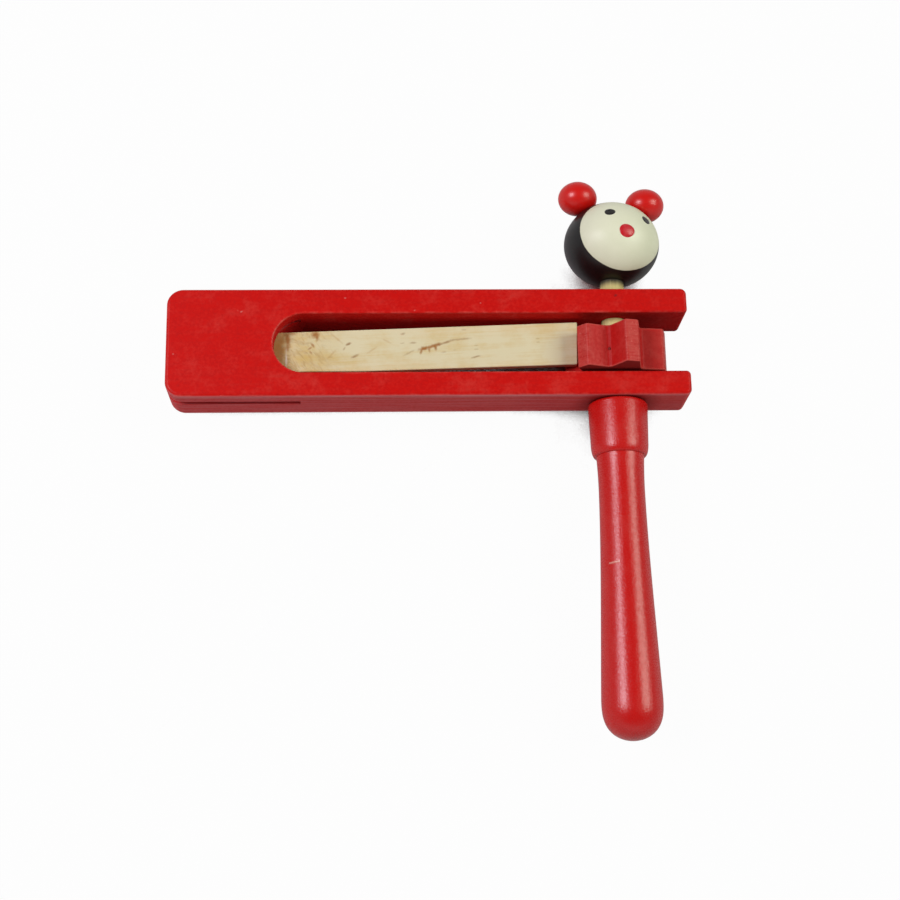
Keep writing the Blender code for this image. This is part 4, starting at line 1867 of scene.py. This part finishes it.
@dataclass(frozen=True)
class AnimalHead(SubAssembly):
    """The flattened ball of the head, its two bead ears on pegs, and the dabs of its face.

    The head leans about its chin towards the open end, and the face and the ears are turned with it.
    """

    chin: float = 22.6 * MM
    radius: float = 15.6 * MM
    half_height: float = 13.9 * MM
    lean: float = math.radians(2.2)
    turn: float = math.radians(9.5)
    socket_depth: float = 16.5 * MM
    socket_radius: float = 4.2 * MM
    ear_radius: float = 6.4 * MM
    ear_half_height: float = 5.5 * MM
    ear_elevation: float = math.radians(53.2)
    ear_seat: float = 0.95 * MM
    glue_gap: float = 0.3 * MM
    seat_gap: float = 0.03 * MM
    peg_hole: float = 1.8 * MM
    peg_in_head: float = 6.3 * MM
    peg_in_ear: float = 4.3 * MM
    face_toward: Triple = (0.2474, 0.0713, 0.9663)
    face_edge: float = 7.27 * MM
    dabs: tuple[Dab, ...] = (
        Dab("left_eye", (-0.1486, 0.3734, 0.9157), 1.72 * MM, 1.55 * MM, 0.10 * MM,
            DabPaint("eye_paint"), "head_paint"),
        Dab("right_eye", (0.6437, 0.3008, 0.7037), 1.72 * MM, 1.55 * MM, 0.10 * MM,
            DabPaint("eye_paint_right"), "head_paint"),
        Dab("nose", (0.1976, -0.0739, 0.9775), 2.52 * MM, 2.30 * MM, 0.42 * MM,
            DabPaint("nose_paint", colour=(0.560, 0.012, 0.020), thin=(0.600, 0.060, 0.070)),
            "ear_paint", (2.268, 1.0)),
    )
    ball_rings: int = 72
    ball_sides: int = 128
    ear_sides: int = 96
    dab_rings: int = 14
    dab_sides: int = 64
    sharp: float = 40.0
    dab_sharp: float = 60.0

    @property
    def leaning(self) -> Array:
        """Rotation of the head's lean."""
        return rotation("Z", -self.lean)

    @property
    def size(self) -> Array:
        """Half the head's width, height and depth."""
        return np.array([self.radius, self.half_height, self.radius])

    @property
    def foot(self) -> Array:
        """Place of the chin, on the shaft's axis."""
        return self.origin + (0.0, self.chin, 0.0)

    @property
    def centre(self) -> Array:
        """Centre of the head, after its lean about the chin."""
        return self.foot + self.leaning @ (0.0, self.half_height, 0.0)

    def form(self, size: Array) -> Array:
        """Matrix m of a leaning flattened ball: a place p from its centre is on it where p m p is 1."""
        return self.leaning @ np.diag(size**-2.0) @ self.leaning.T

    @staticmethod
    def product(left: Array, form: Array, right: Array) -> Array:
        """Multiply each pair of vectors a and b through a matrix m: a m b."""
        return np.einsum("...i,ij,...j", left, form, right)

    def out_to(self, form: Array, toward: Array) -> Array:
        """Distance from a flattened ball's centre to its surface in a direction d: 1 / root of d m d."""
        return 1.0 / np.sqrt(self.product(toward, form, toward))

    def reach(self, start: Array, toward: Array, form: Array) -> Array:
        """Distance from a start to a flattened ball about the origin, along a direction.

        It is the smaller root t of (s + t d) m (s + t d) = 1, and a large number where there is none.

        Args:
            start: Start of each line.
            toward: Direction of each line.
            form: The ball's matrix.

        Returns:
            The distance along each line.
        """
        square = self.product(toward, form, toward)
        linear = self.product(start, form, toward)
        rest = self.product(start, form, start) - 1.0
        inside = linear**2 - square * rest
        return np.where(inside > 0.0, (-linear - np.sqrt(np.maximum(inside, 0.0))) / square, FAR)

    def build(self) -> bpy.types.Object:
        """Turn the head: the socket for the shaft, then the ball from its mouth to its crown.

        The ball is (r cos b, h sin b) turned round its own leaning axis, with b from the socket's mouth.

        Returns:
            The head.
        """
        mouth = -math.acos(self.socket_radius / self.radius)
        b = np.linspace(mouth, QUARTER_TURN, self.ball_rings)
        ball = np.stack([self.radius * np.cos(b), self.half_height * (1.0 + np.sin(b))], axis=-1)
        ball[-1, 0] = 0.0
        socket = np.array([[0.0, self.socket_depth], [self.socket_radius, self.socket_depth],
                           [self.socket_radius, ball[0, 1] + self.glue_gap]])
        inner, outer = (turned(profile, self.ball_sides) for profile in (socket, ball))
        rings = np.concatenate([inner, outer @ self.leaning.T]) + self.foot
        head = Skin(rings).piece("ball_head", self.sharp)
        cutters = []
        for side in Side:
            toward = self.ear_direction(side)
            joint = self.out_to(self.form(self.size), toward)
            hole = plain_bar(self.centre + toward * (joint - self.peg_in_head),
                             self.centre + toward * (joint + self.peg_hole), self.peg_hole)
            cutters.append(hole.piece("%s_peg_hole" % side.name.lower()))
        carve(head, cutters, self.sharp)
        return head

    def ear_direction(self, side: Side) -> Array:
        """Direction from the head's centre to an ear."""
        flat = side.value * math.cos(self.ear_elevation)
        return self.leaning @ rotation("Y", self.turn) @ (flat, math.sin(self.ear_elevation), 0.0)

    def ear(self, side: Side) -> bpy.types.Object:
        """Work out an ear: a flattened bead, hollowed where it sits on the head and bored for its peg.

        From the ear's centre, the surface in each direction is at the nearer of the bead and the head.
        Rings go from the bore's end, along its wall to the seat, and round the bead to its far side.

        Args:
            side: Which ear.

        Returns:
            The ear.
        """
        toward = self.ear_direction(side)
        bead = self.form(np.array([self.ear_radius, self.ear_half_height, self.ear_radius]))
        seat = self.form(self.size + self.seat_gap)
        seat_to_centre = self.out_to(bead, toward) - self.ear_seat
        from_head = toward * (self.out_to(self.form(self.size), toward) + seat_to_centre)
        across, inward, over = axes_along(-toward).T
        angle = np.linspace(0.0, FULL_TURN, self.ear_sides, endpoint=False)[:, None]
        spoke = across * np.cos(angle) + over * np.sin(angle)
        wall = spoke * self.peg_hole
        mouth = self.reach(from_head + wall, np.broadcast_to(inward, wall.shape), seat)[:, None]
        bottom = inward * (seat_to_centre - self.peg_in_ear)
        bore = np.stack([np.broadcast_to(bottom, wall.shape), wall + bottom, wall + inward * mouth])
        start = np.arctan2(self.peg_hole, mouth)
        polar = start + (math.pi - start) * np.linspace(0.0, 1.0, self.ball_rings + 1)[1:, None, None]
        line = inward * np.cos(polar) + spoke * np.sin(polar)
        seat_reach = self.reach(from_head, line, seat)
        seat_reach = np.where(seat_reach > 0.0, seat_reach, FAR)
        surface = line * np.minimum(self.out_to(bead, line), seat_reach)[..., None]
        rings = np.concatenate([bore, surface]) + from_head + self.centre
        return Skin(rings).piece("%s_bead_ear" % side.name.lower(), self.sharp)

    def dab(self, dab: Dab) -> bpy.types.Object:
        """Work out a dab: a low dome over a disc laid on the head.

        A place (u, v) of the disc is moved out from the head's centre onto its surface, and raised by
        the thickness times the root of 1 - s^2, where s is its share of the disc's radius. The disc's
        edge wavers a little, and its underside is sunk into the head.

        Args:
            dab: The dab.

        Returns:
            The dab's piece.
        """
        form = self.form(self.size)
        toward = self.leaning @ unit(np.array(dab.toward))
        foot = toward * self.out_to(form, toward)
        normal = unit(form @ foot)
        right = unit(np.cross(self.leaning[:, 1], normal))
        up = np.cross(normal, right)
        angle = np.linspace(0.0, FULL_TURN, self.dab_sides, endpoint=False)
        dome = np.cos(np.linspace(0.0, QUARTER_TURN, self.dab_rings))[:, None]
        share = np.vstack([[[0.0], [1.0]], dome])
        raised = dab.thickness * np.sqrt(np.maximum(0.0, 1.0 - dome**2))
        height = np.vstack([[[-dab.sunk], [-dab.sunk]], raised])
        u = share * dab.width * dab.edge(angle) * np.cos(angle)
        v = share * dab.height * dab.edge(angle) * np.sin(angle)
        place = foot + u[..., None] * right + v[..., None] * up
        place = place * self.out_to(form, place)[..., None]
        rings = place + unit(place @ form) * height[..., None] + self.centre
        return Skin(rings).piece(dab.name, self.dab_sharp)

    def dress(self) -> None:
        """Build and paint the head, the ears and the dabs, and leave the pegs bare."""
        facing = self.leaning @ np.array(self.face_toward)
        finish = FacePaint("head_paint", ior=1.47, relief=0.04 * MM, centre=tuple(self.centre.tolist()),
                           facing=tuple(unit(facing).tolist()), edge=self.face_edge)
        install(self.build(), finish, "head_paint", Body.ROTOR, "head")
        peg_wood = BareWood("peg_wood", fibres=(1100.0, 60.0, 1100.0)).material()
        for side in Side:
            node = "%s_ear" % side.name.lower()
            lacquer = Lacquer(
                "%s_lacquer" % node, ior=1.5, relief=0.0008 * MM, gloss=0.30, cloud=0.07, mottle=0.1,
                patchy=0.3, colour=(0.640, 0.006, 0.0034), haze=(0.640, 0.034, 0.026),
                dust=Specks(115.0, 0.030, 0.02))
            install(self.ear(side), lacquer, "ear_paint", Body.ROTOR, node)
            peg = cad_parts["%s_peg" % node]
            peg.data.materials.clear()
            peg.data.materials.append(peg_wood)
        for dab in self.dabs:
            install(self.dab(dab), dab.finish, dab.slot, Body.ROTOR)


# The studio


@dataclass(frozen=True)
class Lamp:
    """A square softbox.

    Attributes:
        name: Its name.
        toward: Direction from the toy to the lamp.
        distance: Distance from the toy.
        size: Length of its side.
        power: Its power in watts.
        colour: Colour of its light.
    """

    name: str
    toward: Triple
    distance: float
    size: float
    power: float
    colour: Colour

    def light(self, aim: Vector) -> None:
        """Hang the lamp so that it looks at a place.

        Args:
            aim: The place.
        """
        data = bpy.data.lights.new(self.name, "AREA")
        data.shape = "SQUARE"
        data.size = self.size
        data.energy = self.power
        data.color = self.colour
        lamp = bpy.data.objects.new(self.name, data)
        toward = Vector(self.toward).normalized()
        lamp.matrix_world = (Matrix.Translation(aim + toward * self.distance)
                             @ toward.to_track_quat("Z", "Y").to_matrix().to_4x4())
        bpy.context.scene.collection.objects.link(lamp)


@dataclass(frozen=True)
class Studio:
    """A white floor, two softboxes, a soft surround and the camera.

    Attributes:
        floor_half: Half the floor's side.
        floor_colour: Its colour in the open.
        floor_shadow: Its colour close under the toy, a painted shadow tinted red.
        floor_rough: Its roughness.
        floor_white: How much plain white the camera sees of it.
        floor_mirrored: How much plain white the toy mirrors of it.
        shadow_reach: How far off the toy darkens it.
        shadow_samples: Number of looks round for that.
        shadow_sky: Share of open sky where the painted shadow fades and is gone.
        white_sky: Share of open sky where the plain white starts and is full.
        zenith: Light from above.
        horizon: Light from the sides and from behind.
        front: Light from low in front.
        right_share: Share of the low light that is left on the right.
        front_range: How far to the front it starts and stops growing.
        right_range: How far to the right it starts and stops sinking.
        height_range: How far up it starts and stops changing.
        eye: Place of the camera.
        right: Direction to the picture's right.
        up: Direction to the picture's top.
        lens: Focal length in millimetres.
        sensor: Width of the sensor in millimetres.
        nearest: Distance from where the camera sees.
        lamps: The softboxes.
    """

    floor_half: float = 4.0
    floor_colour: Colour = (0.50, 0.50, 0.50)
    floor_shadow: Colour = (0.130, 0.026, 0.024)
    floor_rough: float = 0.9
    floor_white: float = 0.97
    floor_mirrored: float = 0.12
    shadow_reach: float = 0.030
    shadow_samples: int = 16
    shadow_sky: Range = (0.29, 0.44)
    white_sky: Range = (0.27, 0.38)
    zenith: float = 0.14
    horizon: float = 0.42
    front: float = 0.86
    right_share: float = 0.70
    front_range: Range = (0.10, 0.90)
    right_range: Range = (0.10, 0.85)
    height_range: Range = (0.08, 0.78)
    eye: Triple = (-0.017684, -0.150185, 0.526897)
    right: Triple = (0.99896431, -0.01908401, 0.04130505)
    up: Triple = (0.00660955, 0.9590255, 0.28324266)
    lens: float = 67.4
    sensor: float = 36.0
    nearest: float = 0.01
    lamps: tuple[Lamp, ...] = (
        Lamp("left_softbox", (-0.655, 0.06, 0.753), 1.1, 0.42, 7.2, (1.00, 0.95, 1.04)),
        Lamp("right_softbox", (0.705, 0.06, 0.706), 1.1, 0.56, 6.3, (0.99, 1.03, 0.92)),
    )

    def floor_paint(self) -> bpy.types.Material:
        """Make the floor's material: white in the open, with a painted shadow close under the toy.

        Returns:
            The material.
        """
        material = bpy.data.materials.new("floor_white")
        material.use_nodes = True
        graph = Graph(material.node_tree)
        sky = graph.wire("ShaderNodeAmbientOcclusion", "AO", {"samples": self.shadow_samples},
                         {"Distance": self.shadow_reach})
        # Painted shadow: the floor's own colour darkens where the toy hides the sky.
        colour = graph.mix(sky.rise(*self.shadow_sky), self.floor_shadow, self.floor_colour)
        plain = graph.wire("ShaderNodeBsdfPrincipled", 0, None, {
            "Base Color": colour, "Roughness": self.floor_rough})
        white = graph.wire("ShaderNodeEmission", 0, None, {"Color": WHITE, "Strength": 1.0})
        rays = ("Is Camera Ray", "Is Transmission Ray", "Is Glossy Ray")
        camera, through, mirrored = (graph.wire("ShaderNodeLightPath", ray) for ray in rays)
        seen = (camera.most(through) * self.floor_white).most(mirrored * self.floor_mirrored)
        seen = seen * sky.rise(*self.white_sky)
        mixed = graph.wire("ShaderNodeMixShader", 0, None, {0: seen, 1: plain, 2: white})
        graph.node("ShaderNodeOutputMaterial", None, {"Surface": mixed})
        return material

    def floor(self) -> None:
        """Lay the floor: a square sheet under the toy."""
        mesh = bpy.data.meshes.new("floor")
        edge = self.floor_half
        corners = [(-edge, -edge, 0.0), (edge, -edge, 0.0), (edge, edge, 0.0), (-edge, edge, 0.0)]
        mesh.from_pydata(corners, [], [[0, 1, 2, 3]])
        mesh.materials.append(self.floor_paint())
        floor = bpy.data.objects.new("floor", mesh)
        bpy.context.scene.collection.objects.link(floor)

    def surround(self) -> None:
        """Light the toy softly from all round, most from low in front, and show white past the floor."""
        world = bpy.data.worlds.new("surround")
        world.use_nodes = True
        bpy.context.scene.world = world
        graph = Graph(world.node_tree)
        right, back, height = graph.parts(graph.wire("ShaderNodeTexCoord", "Generated"))
        low = self.horizon + (0.0 - back).rise(*self.front_range) * (self.front - self.horizon)
        low = low * (1.0 - right.rise(*self.right_range) * (1.0 - self.right_share))
        level = low + height.rise(*self.height_range) * (self.zenith - low)
        seen = graph.wire("ShaderNodeLightPath", "Is Camera Ray")
        strength = level + seen * (1.0 - level)
        light = graph.wire("ShaderNodeBackground", 0, None, {"Color": WHITE, "Strength": strength})
        graph.node("ShaderNodeOutputWorld", None, {"Surface": light})

    def camera(self) -> None:
        """Set up the camera from its place and its right and up directions."""
        data = bpy.data.cameras.new("camera")
        data.lens = self.lens
        data.sensor_width = self.sensor
        data.clip_start = self.nearest
        camera = bpy.data.objects.new("camera", data)
        right, up = Vector(self.right).normalized(), Vector(self.up).normalized()
        turn = Matrix((right, up, right.cross(up))).transposed()
        camera.matrix_world = Matrix.Translation(self.eye) @ turn.to_4x4()
        bpy.context.scene.collection.objects.link(camera)
        bpy.context.scene.camera = camera

    def set_up(self, layout: Layout) -> None:
        """Set up the whole studio.

        Args:
            layout: Where the part is.
        """
        bpy.context.scene.view_settings.view_transform = "Standard"
        self.camera()
        self.floor()
        self.surround()
        for lamp in self.lamps:
            lamp.light(Vector(layout.at()))


def main() -> None:
    """Set up the studio, then build and dress each sub-assembly in order."""
    logging.basicConfig(level=logging.INFO, format="%(name)s: %(message)s")
    layout = Layout.from_frame()
    Studio().set_up(layout)
    gear = ToothedGear(layout)
    parts: tuple[SubAssembly, ...] = (
        SlottedFrame(layout), SpringTongue(layout), gear, DowelShaft(layout, gear),
        TurnedHandle(layout), AnimalHead(layout))
    for part in parts:
        part.dress()


if __name__ == "__main__":
    main()
